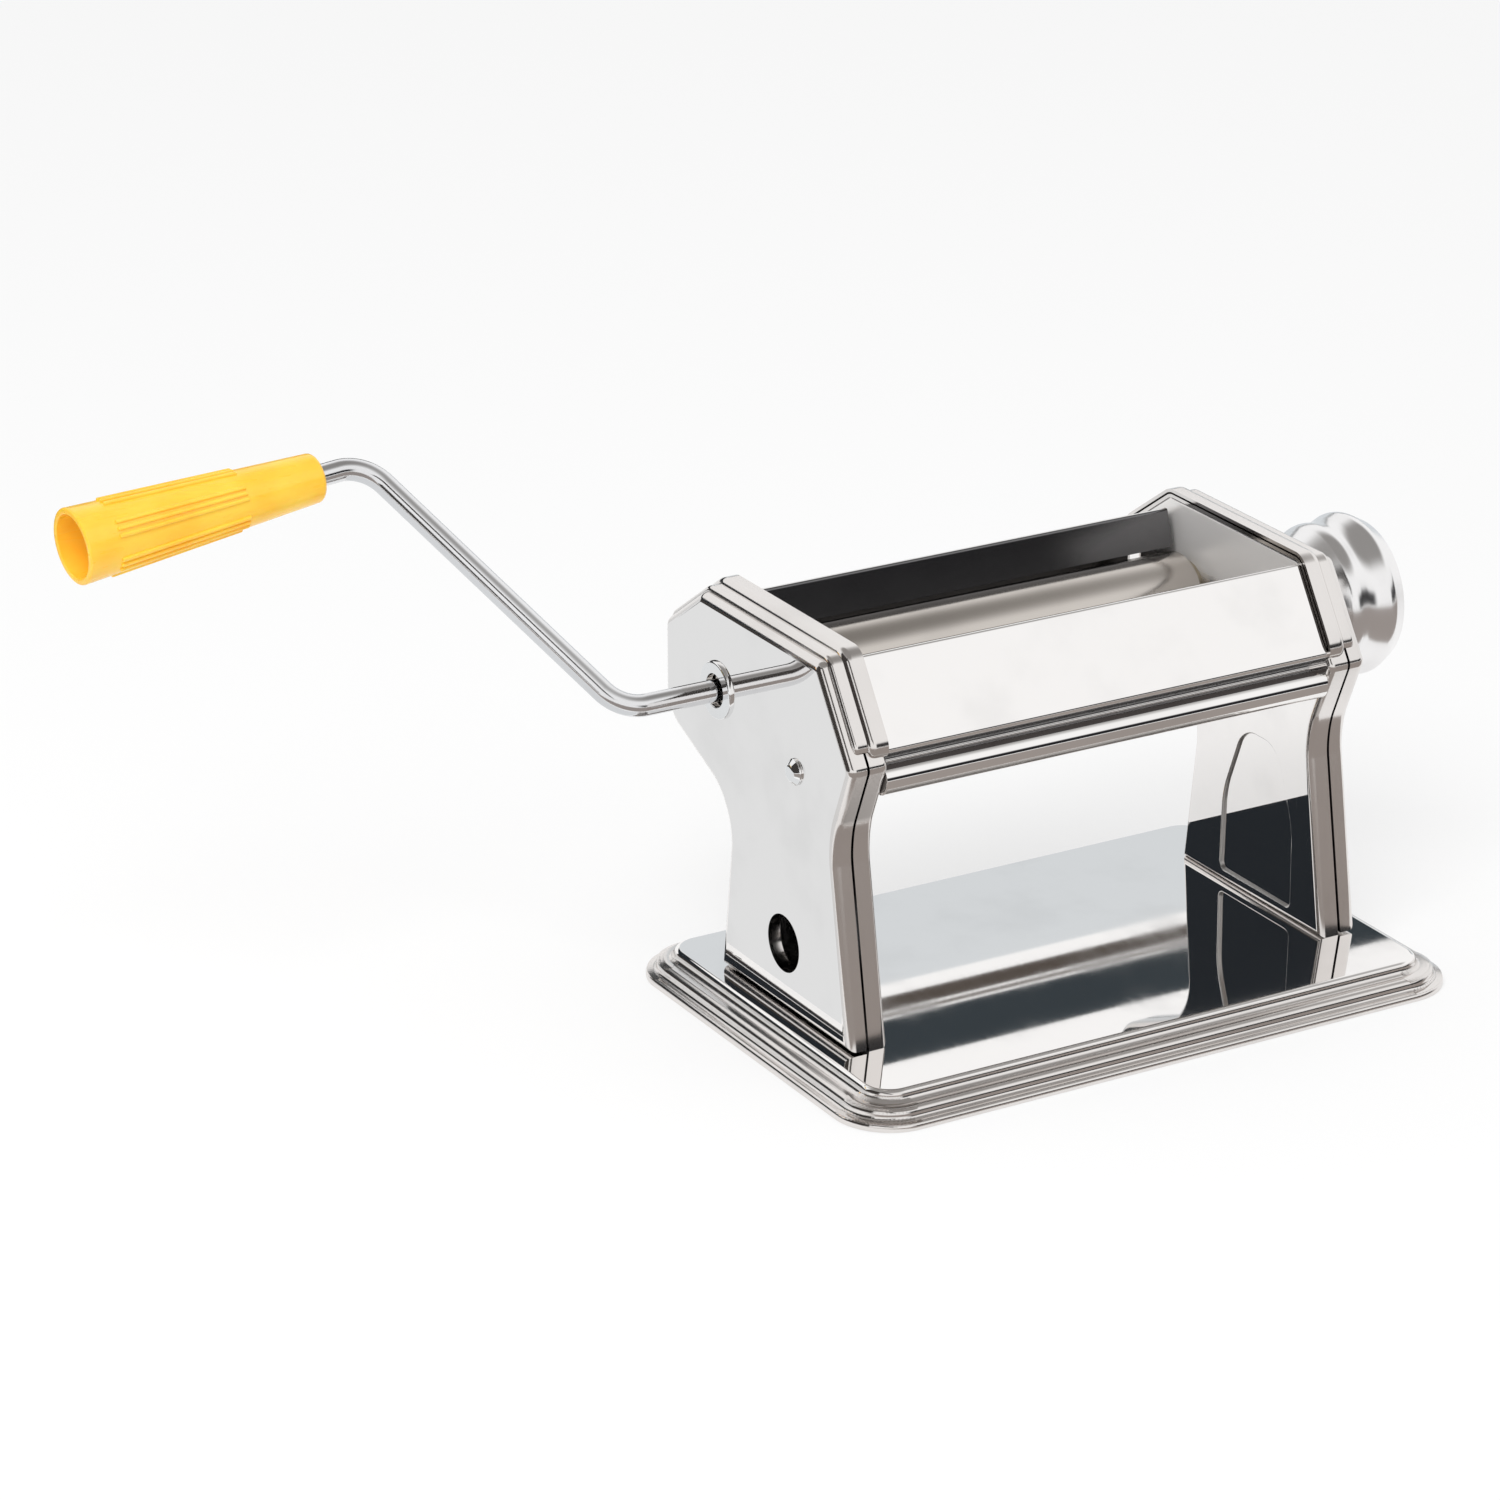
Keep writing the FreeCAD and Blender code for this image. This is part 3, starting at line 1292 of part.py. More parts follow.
def base_screws():
    """Screws from below that hold the inner plates to the tray."""
    screws = []
    top = size.plateau_top - size.base_sheet
    for number, (x, y) in enumerate(base_screw_places()):
        upright = at(x, y, 0, FreeCAD.Rotation(FreeCAD.Vector(0, 1, 0), -90))
        body = new_body("base_screw_%d" % number, upright)
        shank, head = size.screw_dia / 2, size.screw_head / 2
        turned(body, "screw", [
            (top - size.screw_head_thick, 0, 0), (top + size.base_screw_length, 0, 0),
            (top + size.base_screw_length, shank, 0), (top, shank, 0),
            (top, head, 0), (top - size.screw_head_thick, head, size.base_screw_round),
        ])
        screws.append(body)
    group("base_screws", screws)


def build():
    base_tray()
    for name, side in SIDES:
        inner_plate(name, side)
        side_cover(name, side)
    front_cover()
    rear_cover()
    tie_rods()
    tie_rod_nuts()
    drive_bushes()
    drive_roller()
    drive_rings()
    gear("drive_gear", size.drive_y, size.drive_z, size.shaft_dia + 2 * size.seat_gap, math.pi)
    idle_roller()
    idle_roller_bushes()
    gear("idle_gear", idle_y, idle_z, size.trunnion_dia + 2 * size.seat_gap, math.pi / TEETH)
    eccentric_spindle()
    spindle_bush()
    spindle_ring()
    bearing_bridge()
    front_scraper()
    scraper_arms()
    rear_scraper()
    crank_bush()
    crank_rod()
    crank_grip()
    grip_washer()
    index_plate()
    adjusting_knob()
    index_pin()
    knob_screw()
    knob_spring()
    cover_screws()
    cover_post()
    base_screws()


def check_and_write():
    """Stops at anything that failed to build, then writes one file for each sub-part."""
    doc.recompute()
    failed = [item.Name for item in doc.Objects if "Invalid" in item.State or "Error" in item.State]
    failed += [cut.Name + " cuts nothing" for cut in cuts
               if cut.BaseFeature.Shape.Volume - cut.Shape.Volume < LEAST_CUT]
    failed += [part.Label for part in parts if part.Shape.isNull() or not part.Shape.isValid()]
    if failed:
        raise RuntimeError("not built: " + ", ".join(failed))
    os.makedirs("parts", exist_ok=True)
    for part in parts:
        part.Shape.exportStep("parts/%s.step" % part.Label)
        print("%-20s %2d solids %10.1f mm3" % (part.Label, len(part.Shape.Solids), part.Shape.Volume))


build()
check_and_write()
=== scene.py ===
# %% [markdown]
# A hand-cranked pasta machine in polished steel, dressed for a product picture.
# The CAD frame comes first: every piece below sits in the frame of the real parts, and each new piece
# rides on one of its bodies, so that the joints still move. Blender counts in metres, and the sizes
# below are written in millimetres wherever a drawing of the machine would have them so.

# %% The frame
import bpy
import bmesh
import json
import math
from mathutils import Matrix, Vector


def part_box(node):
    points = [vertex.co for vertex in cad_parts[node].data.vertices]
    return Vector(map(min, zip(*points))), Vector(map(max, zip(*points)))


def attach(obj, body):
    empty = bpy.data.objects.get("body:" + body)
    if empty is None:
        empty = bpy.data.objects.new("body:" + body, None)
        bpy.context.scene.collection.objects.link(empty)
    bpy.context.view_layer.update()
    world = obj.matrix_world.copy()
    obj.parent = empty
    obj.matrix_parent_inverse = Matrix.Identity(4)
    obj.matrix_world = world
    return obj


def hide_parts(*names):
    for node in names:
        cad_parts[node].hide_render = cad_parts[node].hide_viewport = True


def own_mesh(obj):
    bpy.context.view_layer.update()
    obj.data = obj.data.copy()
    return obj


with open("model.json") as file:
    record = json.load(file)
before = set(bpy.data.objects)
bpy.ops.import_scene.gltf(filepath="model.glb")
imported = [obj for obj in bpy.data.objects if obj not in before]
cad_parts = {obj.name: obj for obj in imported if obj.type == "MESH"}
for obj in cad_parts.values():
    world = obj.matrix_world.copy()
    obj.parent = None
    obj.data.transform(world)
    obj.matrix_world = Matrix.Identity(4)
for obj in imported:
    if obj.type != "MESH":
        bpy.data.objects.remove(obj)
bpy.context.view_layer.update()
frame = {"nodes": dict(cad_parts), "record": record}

MM = 0.001
nodes = frame["nodes"]

# %% [markdown]
# The camera stands front left of the machine and a little above it, with a long lens, as a product
# photographer works: the long lens keeps the two sides nearly parallel. A tracking quaternion turns
# the camera to its target, which is shorter than working out three angles by hand.

# %% Camera
AZIMUTH = math.radians(-30.12)
ELEVATION = math.radians(21.89)
DISTANCE = 1.5856
TARGET = Vector((-0.0750, 0.0435, 0.0721))


def look_from(azimuth, elevation, distance, target):
    """Places the camera at an angle round a target point."""
    back = Vector((math.sin(azimuth) * math.cos(elevation),
                   -math.cos(azimuth) * math.cos(elevation), math.sin(elevation)))
    bpy.ops.object.camera_add(location=target + back * distance)
    camera = bpy.context.object
    camera.rotation_euler = (-back).to_track_quat("-Z", "Y").to_euler()
    return camera


camera = look_from(AZIMUTH, ELEVATION, DISTANCE, TARGET)
camera.data.lens = 131.1
camera.data.sensor_width = 36
camera.data.clip_start = 0.05
camera.data.dof.use_dof = False
bpy.context.scene.camera = camera
bpy.context.scene.view_settings.view_transform = "Standard"
print("camera at", [round(v, 3) for v in camera.location])

# %% [markdown]
# Shader maths reads best as plain maths. A small class wraps a node's output, so that adding or
# multiplying two of them adds the Math node behind the scenes.

# %% Numbers on a surface


class Val:
    """A number or colour that changes over a surface."""

    def __init__(self, finish, socket):
        self.finish = finish
        self.socket = socket

    def maths(self, operation, first, second):
        return self.finish.node("ShaderNodeMath", {"operation": operation}, {0: first, 1: second})

    def __add__(self, other):
        return self.maths("ADD", self, other)

    def __radd__(self, other):
        return self.maths("ADD", other, self)

    def __rsub__(self, other):
        return self.maths("SUBTRACT", other, self)

    def __mul__(self, other):
        return self.maths("MULTIPLY", self, other)

    def __rmul__(self, other):
        return self.maths("MULTIPLY", other, self)


print("surface numbers add, subtract and multiply")

# %% [markdown]
# A material is a tree of nodes, and so is the world. One method adds any kind of node, and the short
# methods after it name the few kinds that this machine needs. Every texture reads Object coordinates,
# so that a pattern stays where it is on the metal when a joint moves.

# %% Materials from nodes


class Finish:
    """A material, or the world, built from nodes."""

    def __init__(self, owner):
        owner.use_nodes = True
        self.tree = owner.node_tree
        self.tree.nodes.clear()

    def node(self, kind, settings=None, inputs=None, output=0):
        """Adds a node, fills it in, and gives back one of its outputs."""
        made = self.tree.nodes.new(kind)
        for key, value in (settings or {}).items():
            setattr(made, key, value)
        for key, value in (inputs or {}).items():
            if isinstance(value, Val):
                self.tree.links.new(value.socket, made.inputs[key])
            else:
                made.inputs[key].default_value = value
        return Val(self, made.outputs[output]) if made.outputs else None

    def place(self):
        return self.node("ShaderNodeTexCoord", output="Object")

    def split(self, vector):
        made = self.node("ShaderNodeSeparateXYZ", inputs={0: vector}).socket.node
        return [Val(self, socket) for socket in made.outputs]

    def stretched(self, vector, scale):
        return self.node("ShaderNodeMapping", inputs={"Vector": vector, "Scale": scale})

    def noise(self, vector, scale, detail):
        settings = {"Vector": vector, "Scale": scale, "Detail": detail}
        return self.node("ShaderNodeTexNoise", inputs=settings)

    def ramp(self, value, low, high):
        """0 below low, 1 above high, and smooth between."""
        return self.node("ShaderNodeMapRange", {"interpolation_type": "SMOOTHSTEP"},
                         {"Value": value, "From Min": low, "From Max": high})

    def mix(self, factor, first, second):
        """Goes from the first colour to the second as the factor goes from 0 to 1."""
        return self.node("ShaderNodeMix", {"data_type": "RGBA"},
                         {"Factor": factor, 6: first, 7: second}, output=2)

    def bump(self, height, strength, distance):
        settings = {"Height": height, "Strength": strength, "Distance": distance}
        return self.node("ShaderNodeBump", inputs=settings)

    def surface(self, **inputs):
        """Ends the material in one Principled shader."""
        named = {key.replace("_", " "): value for key, value in inputs.items()}
        shader = self.node("ShaderNodeBsdfPrincipled", inputs=named)
        self.node("ShaderNodeOutputMaterial", inputs={"Surface": shader})


def finish(name):
    material = bpy.data.materials.new(name)
    return material, Finish(material)


print("material tools:", [name for name in vars(Finish) if not name.startswith("_")])

# %% [markdown]
# Mirror polish is not one even number. The polishing wheel leaves very fine lines, hands leave smears,
# and the sheet is never quite flat. So the roughness wanders a little and a faint bump bends the
# reflections. The heads of the inner plates are paler and matt, and the mirror begins below them.

# %% Polished steel
SMEAR_SCALE = 38.0
SHEET_SCALE = 9.0
MATT_FROM = 99.0
MATT_FULL = 105.0
MATT_COLOUR = (0.92, 0.90, 0.88, 1.0)


def polished_steel(name, tint, roughness, wave, grain_scale, matt_head=False):
    material, make = finish(name)
    place = make.place()
    smear = make.ramp(make.noise(place, SMEAR_SCALE, 3.0), 0.45, 0.75)
    grain = make.noise(make.stretched(place, grain_scale), 1.0, 2.0)
    sheet = make.noise(place, SHEET_SCALE, 1.0)
    darker = tuple(channel * 0.94 for channel in tint[:3]) + (1.0,)
    colour = make.mix(smear, tint, darker)
    metallic = 1.0
    rough = roughness + smear * 0.02 + grain * 0.015
    if matt_head:
        height = make.split(place)[2]
        matt = make.ramp(height, MATT_FROM * MM, MATT_FULL * MM) * (0.75 + 0.25 * smear)
        colour = make.mix(matt, colour, MATT_COLOUR)
        metallic = 1.0 - matt * 0.8
        rough = rough + matt * 0.4
    relief = make.bump(sheet + grain * 0.02, 0.25, wave * MM)
    make.surface(Base_Color=colour, Metallic=metallic, Roughness=rough, Normal=relief)
    return material


print("matt heads begin between", MATT_FROM, "and", MATT_FULL, "mm")

# %% [markdown]
# One recipe serves every metal of the machine. What sets them apart is the tint, the roughness, how
# deep the waves are in millimetres, and which way the fine lines run: a scale is small along the lines
# and large across them. Sheet is the brightest, ground rollers are darker, and hidden steel is plain.

# %% The metals
SHEET_TINT = (0.915, 0.897, 0.885, 1.0)
mirror_sheet = polished_steel("mirror_sheet", SHEET_TINT, 0.015, 0.04, (900, 60, 900))
plate_sheet = polished_steel("plate_sheet", SHEET_TINT, 0.015, 0.04, (900, 900, 60), matt_head=True)
satin_rim = polished_steel("satin_rim", (0.78, 0.75, 0.73, 1.0), 0.13, 0.12, (1400, 60, 60))
turned_chrome = polished_steel("turned_chrome", (0.88, 0.88, 0.88, 1.0), 0.06, 0.15, (1500, 90, 90))
knob_chrome = polished_steel("knob_chrome", (0.88, 0.87, 0.87, 1.0), 0.17, 0.15, (1500, 90, 90))
drawn_rod = polished_steel("drawn_rod", (0.80, 0.80, 0.81, 1.0), 0.10, 0.10, (60, 1500, 1500))
ground_roller = polished_steel("ground_roller", (0.60, 0.56, 0.52, 1.0), 0.16, 0.08, (1600, 120, 120))
plain_steel = polished_steel("plain_steel", (0.42, 0.41, 0.40, 1.0), 0.32, 0.10, (400, 400, 900))
# painted shade: this near-black steel darkens the insides of the slot covers, the underside of the front
# lip and the hidden outer sides of the inner plates
painted_shade_steel = polished_steel("painted_shade_steel", (0.17, 0.168, 0.172, 1.0), 0.20, 0.06, (60, 900, 900))
bush_brass = polished_steel("bush_brass", (0.46, 0.40, 0.31, 1.0), 0.25, 0.10, (1200, 200, 200))
print("materials so far:", len(bpy.data.materials))

# %% [markdown]
# The grip is moulded from a bright, slightly clear plastic. Light goes a little way into its thin wall,
# so the shader has subsurface scattering, and a faint orange emission is a painted glow for that light.
# Cloudy noise varies the yellow, and noise stretched along the grip gives the flow lines of moulding.

# %% Grip plastic
LEMON = (0.99, 0.63, 0.07, 1.0)
AMBER = (0.98, 0.55, 0.045, 1.0)


def grip_yellow():
    material, make = finish("grip_yellow")
    place = make.place()
    cloud = make.noise(place, 60.0, 2.0)
    flow = make.noise(make.stretched(place, (40.0, 400.0, 400.0)), 1.0, 2.0)
    make.surface(
        Base_Color=make.mix(make.ramp(cloud, 0.35, 0.7), AMBER, LEMON),
        Roughness=0.24 + flow * 0.08,
        Subsurface_Weight=0.5,
        Subsurface_Radius=(0.004, 0.002, 0.0005),
        # painted glow: a faint orange emission stands for light coming through the wall
        Emission_Color=(1.0, 0.42, 0.015, 1.0),
        Emission_Strength=0.08,
        Coat_Weight=0.25,
        Coat_Roughness=0.12,
        Normal=make.bump(flow, 0.12, 0.2 * MM),
    )
    return material


yellow_plastic = grip_yellow()
print("plastic:", yellow_plastic.name)

# %% [markdown]
# The pieces that nobody sees close up keep their CAD mesh. Its triangles are loose, so a Weld modifier
# joins them and an Edge Split modifier keeps the sharp edges sharp, while the round faces are shaded
# smooth. Each takes the finish of its own material slot.

# %% CAD pieces that stay
SHARP_ANGLE = math.radians(28)
CAD_FINISH = {
    "polished_steel": mirror_sheet,
    "roller_steel": ground_roller,
    "plain_steel": plain_steel,
    "bush_brass": bush_brass,
    "grip_plastic": yellow_plastic,
}
slot_of = {entry["node"]: entry["material_slot"] for entry in frame["record"]["subparts"]}
for name, node in nodes.items():
    node.data.materials.clear()
    node.data.materials.append(CAD_FINISH[slot_of[name]])
    node.data.polygons.foreach_set("use_smooth", [True] * len(node.data.polygons))
    weld = node.modifiers.new("weld", "WELD")
    weld.merge_threshold = 1e-6
    edges = node.modifiers.new("edges", "EDGE_SPLIT")
    edges.split_angle = SHARP_ANGLE
print("CAD pieces:", len(nodes))

# %% [markdown]
# The pieces in view are modelled by hand, as they would be with the mouse: add a primitive, open it,
# select something, pull it out. A script can't click, so it selects by place: a test is asked of every
# corner, and what passes is selected.

# %% Select and pull
TOUCH = 2e-6


def leave_edit():
    """Goes back to Object mode, with nothing selected."""
    if bpy.context.mode != "OBJECT":
        bpy.ops.object.mode_set(mode="OBJECT")
    bpy.ops.object.select_all(action="DESELECT")


def open_piece(name, add, **settings):
    """Adds a primitive and opens it in edit mode, with nothing selected."""
    leave_edit()
    add(**settings)
    piece = bpy.context.object
    piece.name = name
    bpy.ops.object.mode_set(mode="EDIT")
    bpy.ops.mesh.select_all(action="DESELECT")
    return piece


def pick(kind, wanted):
    """Selects the vertices, edges or faces whose corners all pass a test."""
    bpy.ops.mesh.select_mode(type=kind)
    bpy.ops.mesh.select_all(action="DESELECT")
    data = bpy.context.object.data
    mesh = bmesh.from_edit_mesh(data)
    for item in {"VERT": mesh.verts, "EDGE": mesh.edges, "FACE": mesh.faces}[kind]:
        places = [item.co] if kind == "VERT" else [vertex.co for vertex in item.verts]
        if all(wanted(place) for place in places):
            item.select = True
    mesh.select_flush_mode()
    bmesh.update_edit_mesh(data)


def pick_all(kind):
    bpy.ops.mesh.select_mode(type=kind)
    bpy.ops.mesh.select_all(action="SELECT")


def near(axis, value):
    """A test for places with that coordinate, in millimetres."""
    return lambda place: abs(place[axis] - value * MM) < TOUCH


def at_point(point):
    return lambda place: (place - point).length < TOUCH


def pull(offset):
    """Extrudes the selection by an offset."""
    bpy.ops.mesh.extrude_region_move(TRANSFORM_OT_translate={"value": offset})


print("a place counts as met within", TOUCH, "m")

# %% [markdown]
# Pressed and turned metal has no sharp corners, so most steps end in a bevel. A vertex bevel rounds the
# corner of an outline and an edge bevel rounds a bend. Holes come from a Boolean with a cylinder, which
# is applied at once, so that the next step works on plain faces.

# %% Round and cut


def round_corner(point, before, after, radius):
    """Rounds a corner of an outline or of a profile: the bevel starts where the arc would touch."""
    half = (before - point).angle(after - point) / 2
    pick("VERT", at_point(point))
    bpy.ops.mesh.bevel(affect="VERTICES", offset_type="ABSOLUTE", offset=radius * MM / math.tan(half),
                       segments=max(4, min(20, int(radius * 2.5))), profile=0.5)


def soften(radius, segments):
    """Bevels the selected edges."""
    bpy.ops.mesh.bevel(affect="EDGES", offset_type="OFFSET", offset=radius * MM,
                       segments=segments, profile=0.5)


def shape(piece, kind, **settings):
    """Adds a modifier and applies it."""
    bpy.ops.object.mode_set(mode="OBJECT")
    modifier = piece.modifiers.new(kind.lower(), kind)
    for key, value in settings.items():
        setattr(modifier, key, value)
    bpy.context.view_layer.objects.active = piece
    bpy.ops.object.modifier_apply(modifier=modifier.name)


def thicken(piece, sheet):
    """Gives an open surface the thickness of its sheet, inwards."""
    shape(piece, "SOLIDIFY", thickness=sheet * MM, offset=-1.0)


def cut(piece, cutter, operation="DIFFERENCE"):
    """Takes one piece out of another, or adds it, and removes the tool."""
    shape(piece, "BOOLEAN", object=cutter, operation=operation, solver="EXACT")
    bpy.data.objects.remove(cutter)


def drill(piece, x, y, z, diameter, depth=6):
    """Drills a round hole along X."""
    leave_edit()
    bpy.ops.mesh.primitive_cylinder_add(vertices=72, radius=diameter / 2 * MM, depth=depth * MM,
                                        location=(x * MM, y * MM, z * MM), rotation=(0, math.pi / 2, 0))
    cut(piece, bpy.context.object)


def outwards():
    """Merges doubles and turns every face outwards."""
    bpy.ops.mesh.select_all(action="SELECT")
    bpy.ops.mesh.remove_doubles(threshold=1e-6)
    bpy.ops.mesh.normals_make_consistent(inside=False)


print("rounding and cutting tools ready")

# %% [markdown]
# One pressing has several finishes: its flat outside is a mirror, its turned edges are satin and its
# inside is plain. Each face takes the number of its finish, chosen by its place or the way it faces.
# That is quicker than a mask, and it stays right when an outline changes.

# %% Paint
FLAT_FACING = 0.97
INSIDE_FACING = -0.5


def paint(piece, *finishes, choose=None):
    """Gives a piece its finishes; choose tells each face's place in the list."""
    piece.data.materials.clear()
    for material in finishes:
        piece.data.materials.append(material)
    for face in piece.data.polygons:
        face.material_index = choose(face) if choose else 0


def by_side(side):
    """Tells the flat outside, the turned edges and the inside apart, as 0, 1 and 2."""
    def choose(face):
        facing = face.normal.x * side
        if facing > FLAT_FACING:
            return 0
        return 2 if facing < INSIDE_FACING else 1
    return choose


print("paint ready")

# %% [markdown]
# A finished piece is shaded smooth up to an angle, and weighted normals keep its flat faces flat right
# up to the bevels, which a mirror needs. Then the piece is tied to the body that it moves with, and it
# takes the place of the CAD node that it stands for.

# %% Join and hand over


def join(pieces):
    """Makes one piece of several."""
    leave_edit()
    for piece in pieces:
        piece.select_set(True)
    bpy.context.view_layer.objects.active = pieces[0]
    bpy.ops.object.join()
    return pieces[0]


def hand_over(piece, material, body, node, angle=32):
    """Shades a finished piece, keeps its flat faces flat, and lets it ride on its body."""
    leave_edit()
    piece.select_set(True)
    bpy.context.view_layer.objects.active = piece
    bpy.ops.object.transform_apply(location=True, rotation=True, scale=True)
    bpy.ops.object.shade_smooth_by_angle(angle=math.radians(angle))
    shape(piece, "WEIGHTED_NORMAL", keep_sharp=True)
    if material:
        paint(piece, material)
    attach(piece, body)
    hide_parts(node)
    print(piece.name, len(piece.data.polygons), "faces")


print("hand over ready")

# %% [markdown]
# The base is one pressing: a thin flange on the table, a step up to a rounded band, and the flat plateau.
# A plane gets round corners, then inset and pull in turn make the steps, and bevels make the pressed
# bends. The underside is open, so its face is deleted before the sheet gets its thickness.

# %% Base
BASE_LENGTH = 206.0
BASE_WIDTH = 139.0
BASE_CORNER = 17.6
BASE_SHEET = 1.0
FLANGE_RISE = 2.2
BASE_STEPS = ((3.2, 3.2), (5.2, 3.2))  # inwards, upwards
BASE_BENDS = ((8.6, 1.7, 7), (5.4, 1.9, 6), (2.2, 1.2, 5))  # height, radius, segments
PLATEAU = 8.0


def base():
    piece = open_piece("base", bpy.ops.mesh.primitive_plane_add, size=1)
    bpy.ops.mesh.select_all(action="SELECT")
    bpy.ops.transform.resize(value=(BASE_LENGTH * MM, BASE_WIDTH * MM, 1.0))
    for x in (-BASE_LENGTH / 2 * MM, BASE_LENGTH / 2 * MM):
        for y in (-BASE_WIDTH / 2 * MM, BASE_WIDTH / 2 * MM):
            round_corner(Vector((x, y, 0)), Vector((-x, y, 0)), Vector((x, -y, 0)), BASE_CORNER)
    pick_all("FACE")
    pull((0, 0, FLANGE_RISE * MM))
    for step, rise in BASE_STEPS:
        bpy.ops.mesh.inset(thickness=step * MM)
        pull((0, 0, rise * MM))
    pick("FACE", near(2, 0))
    bpy.ops.mesh.delete(type="ONLY_FACE")
    for height, radius, segments in BASE_BENDS:
        pick("EDGE", near(2, height))
        soften(radius, segments)
    thicken(piece, BASE_SHEET)
    paint(piece, mirror_sheet, satin_rim,
          choose=lambda face: 1 if face.center.z < PLATEAU * MM else 0)
    hand_over(piece, None, "frame", "base_tray")


base()

# %% [markdown]
# Each side of the machine is a pressed cover over a pressed inner plate. Both follow one outline: a foot,
# a waist and a wide head. An outline is a list of corners, each with its y, its z and its radius, drawn
# clockwise as seen from the crank. A terrace is the same head, moved outwards by its step.

# %% Outlines of the sides
HEAD_TOP = 121.0
HEAD_LOW = 98.6
HEAD_FRONT = -16.0
HEAD_REAR = 71.0
FRONT_SLOPE = 18.0 / 27.0
HEAD = [(HEAD_FRONT, HEAD_TOP, 3.0), (50.2, HEAD_TOP, 3.0), (HEAD_REAR, 106.5, 3.0)]


def side_outline(bottom):
    front = [(-34.5, bottom, 0), (-24.0, 70.0, 26.0), (-34.0, 94.0, 3.0)]
    rear = [(HEAD_REAR, 78.0, 12.0), (32.0, 61.0, 18.0), (38.5, bottom, 0)]
    return front + HEAD + rear


def grown(corners, step):
    """The outline moved outwards by a step."""
    count = len(corners)
    result = []
    for number, (y, z, radius) in enumerate(corners):
        here = Vector((y, z))
        before = Vector(corners[number - 1][:2])
        after = Vector(corners[(number + 1) % count][:2])
        into = (here - before).normalized()
        out = (after - here).normalized()
        first = Vector((-into.y, into.x))
        second = Vector((-out.y, out.x))
        shift = (first + second) * (step / (1 + first.dot(second)))
        turn = into.x * out.y - into.y * out.x
        change = step if turn < 0 else -step
        result.append((y + shift.x, z + shift.y, max(radius + change, 0) if radius else 0))
    return result


def head_outline(step):
    front = HEAD_FRONT - FRONT_SLOPE * (HEAD_TOP - HEAD_LOW)
    rear = [(HEAD_REAR, 86.0, 1.5), (58.0, 86.0, 0), (40.0, HEAD_LOW, 0)]
    return grown([(front, HEAD_LOW, 1.5)] + HEAD + rear, step)


print("corners of a side:", len(side_outline(0)), "and of its head:", len(head_outline(0)))

# %% [markdown]
# A circle with one vertex for each corner is the quickest start for an outline: its vertices move to
# their places, and every corner is rounded by a vertex bevel. What comes out is one flat face, ready to
# be pulled into a pan or a block.

# %% Plates from outlines


def outline_plate(name, x, corners):
    """A flat plate across X with an outline of rounded corners."""
    piece = open_piece(name, bpy.ops.mesh.primitive_circle_add, vertices=len(corners), radius=0.05,
                       fill_type="NGON")
    points = [Vector((x * MM, y * MM, z * MM)) for y, z, _ in corners]
    for number, point in enumerate(points):
        vertices = bmesh.from_edit_mesh(piece.data).verts
        vertices.ensure_lookup_table()
        here = vertices[number].co.copy()
        pick("VERT", at_point(here))
        bpy.ops.transform.translate(value=point - here)
    for number, (_, _, radius) in enumerate(corners):
        if radius > 0:
            after = points[(number + 1) % len(points)]
            round_corner(points[number], points[number - 1], after, radius)
    pick_all("FACE")
    return piece


print("plates ready")

# %% [markdown]
# Knob, ring, screws, hole lip and grip are all turned on a lathe. A profile of a few points is drawn
# beside the axis, its corners are rounded by a vertex bevel, and Spin carries it once round. Merging
# doubles closes the seam.

# %% A lathe


def turned(name, y, z, profile, steps=96):
    """A turned piece with its axis along X: the profile is a list of (x, radius, corner)."""
    piece = open_piece(name, bpy.ops.mesh.primitive_plane_add, size=0.001)
    pick_all("VERT")
    bpy.ops.mesh.merge(type="CENTER")
    points = [Vector((x * MM, y * MM, (z + radius) * MM)) for x, radius, _ in profile]
    bpy.ops.transform.translate(value=points[0])
    for here, there in zip(points, points[1:]):
        pull(there - here)
    for number, (_, _, corner) in enumerate(profile):
        if corner:
            round_corner(points[number], points[number - 1], points[number + 1], corner)
    bpy.ops.mesh.select_all(action="SELECT")
    bpy.ops.mesh.spin(steps=steps, angle=2 * math.pi, center=(0, y * MM, z * MM), axis=(1, 0, 0))
    outwards()
    bpy.ops.object.mode_set(mode="OBJECT")
    return piece


print("lathe ready")

# %% [markdown]
# The side cover: its flat face turns in along the leg, and round the head two terraces step down to a
# satin rim. The face and the two terraces are open pans made the same way, so one helper makes all three.
# Only a band of each terrace is kept, because the rest would lie hidden inside.

# %% Pans
COVER_SHEET = 1.0
BAND_FRONT = -29.6
BAND_REAR = 66.0
BAND_LOW = 103.0
SPARE = 0.01


def in_hidden_part(place):
    """A test for the lower middle of a terrace, which would lie hidden behind the cover."""
    across = (BAND_FRONT - SPARE) * MM < place.y < (BAND_REAR + SPARE) * MM
    return across and place.z < BAND_LOW * MM


def pan(name, side, corners, top, low, radius, band=0):
    """A pan with its flat side outwards; a band keeps only that much along its edge."""
    piece = outline_plate(name, side * top, corners)
    pull((-side * (top - low) * MM, 0, 0))
    outwards()
    pick("FACE", near(0, side * low))
    bpy.ops.mesh.delete(type="ONLY_FACE")
    pick("EDGE", near(0, side * top))
    soften(radius, 6)
    if band:
        pick("FACE", near(0, side * top))
        bpy.ops.mesh.inset(thickness=band * MM)
        bpy.ops.mesh.delete(type="FACE")
        for y, direction in ((BAND_FRONT, 1), (BAND_REAR, -1)):
            bpy.ops.mesh.select_all(action="SELECT")
            bpy.ops.mesh.bisect(plane_co=(0, y * MM, 0), plane_no=(0, direction, 0))
        pick("FACE", in_hidden_part)
        bpy.ops.mesh.delete(type="FACE")
    thicken(piece, COVER_SHEET)
    return piece


print("pans ready")

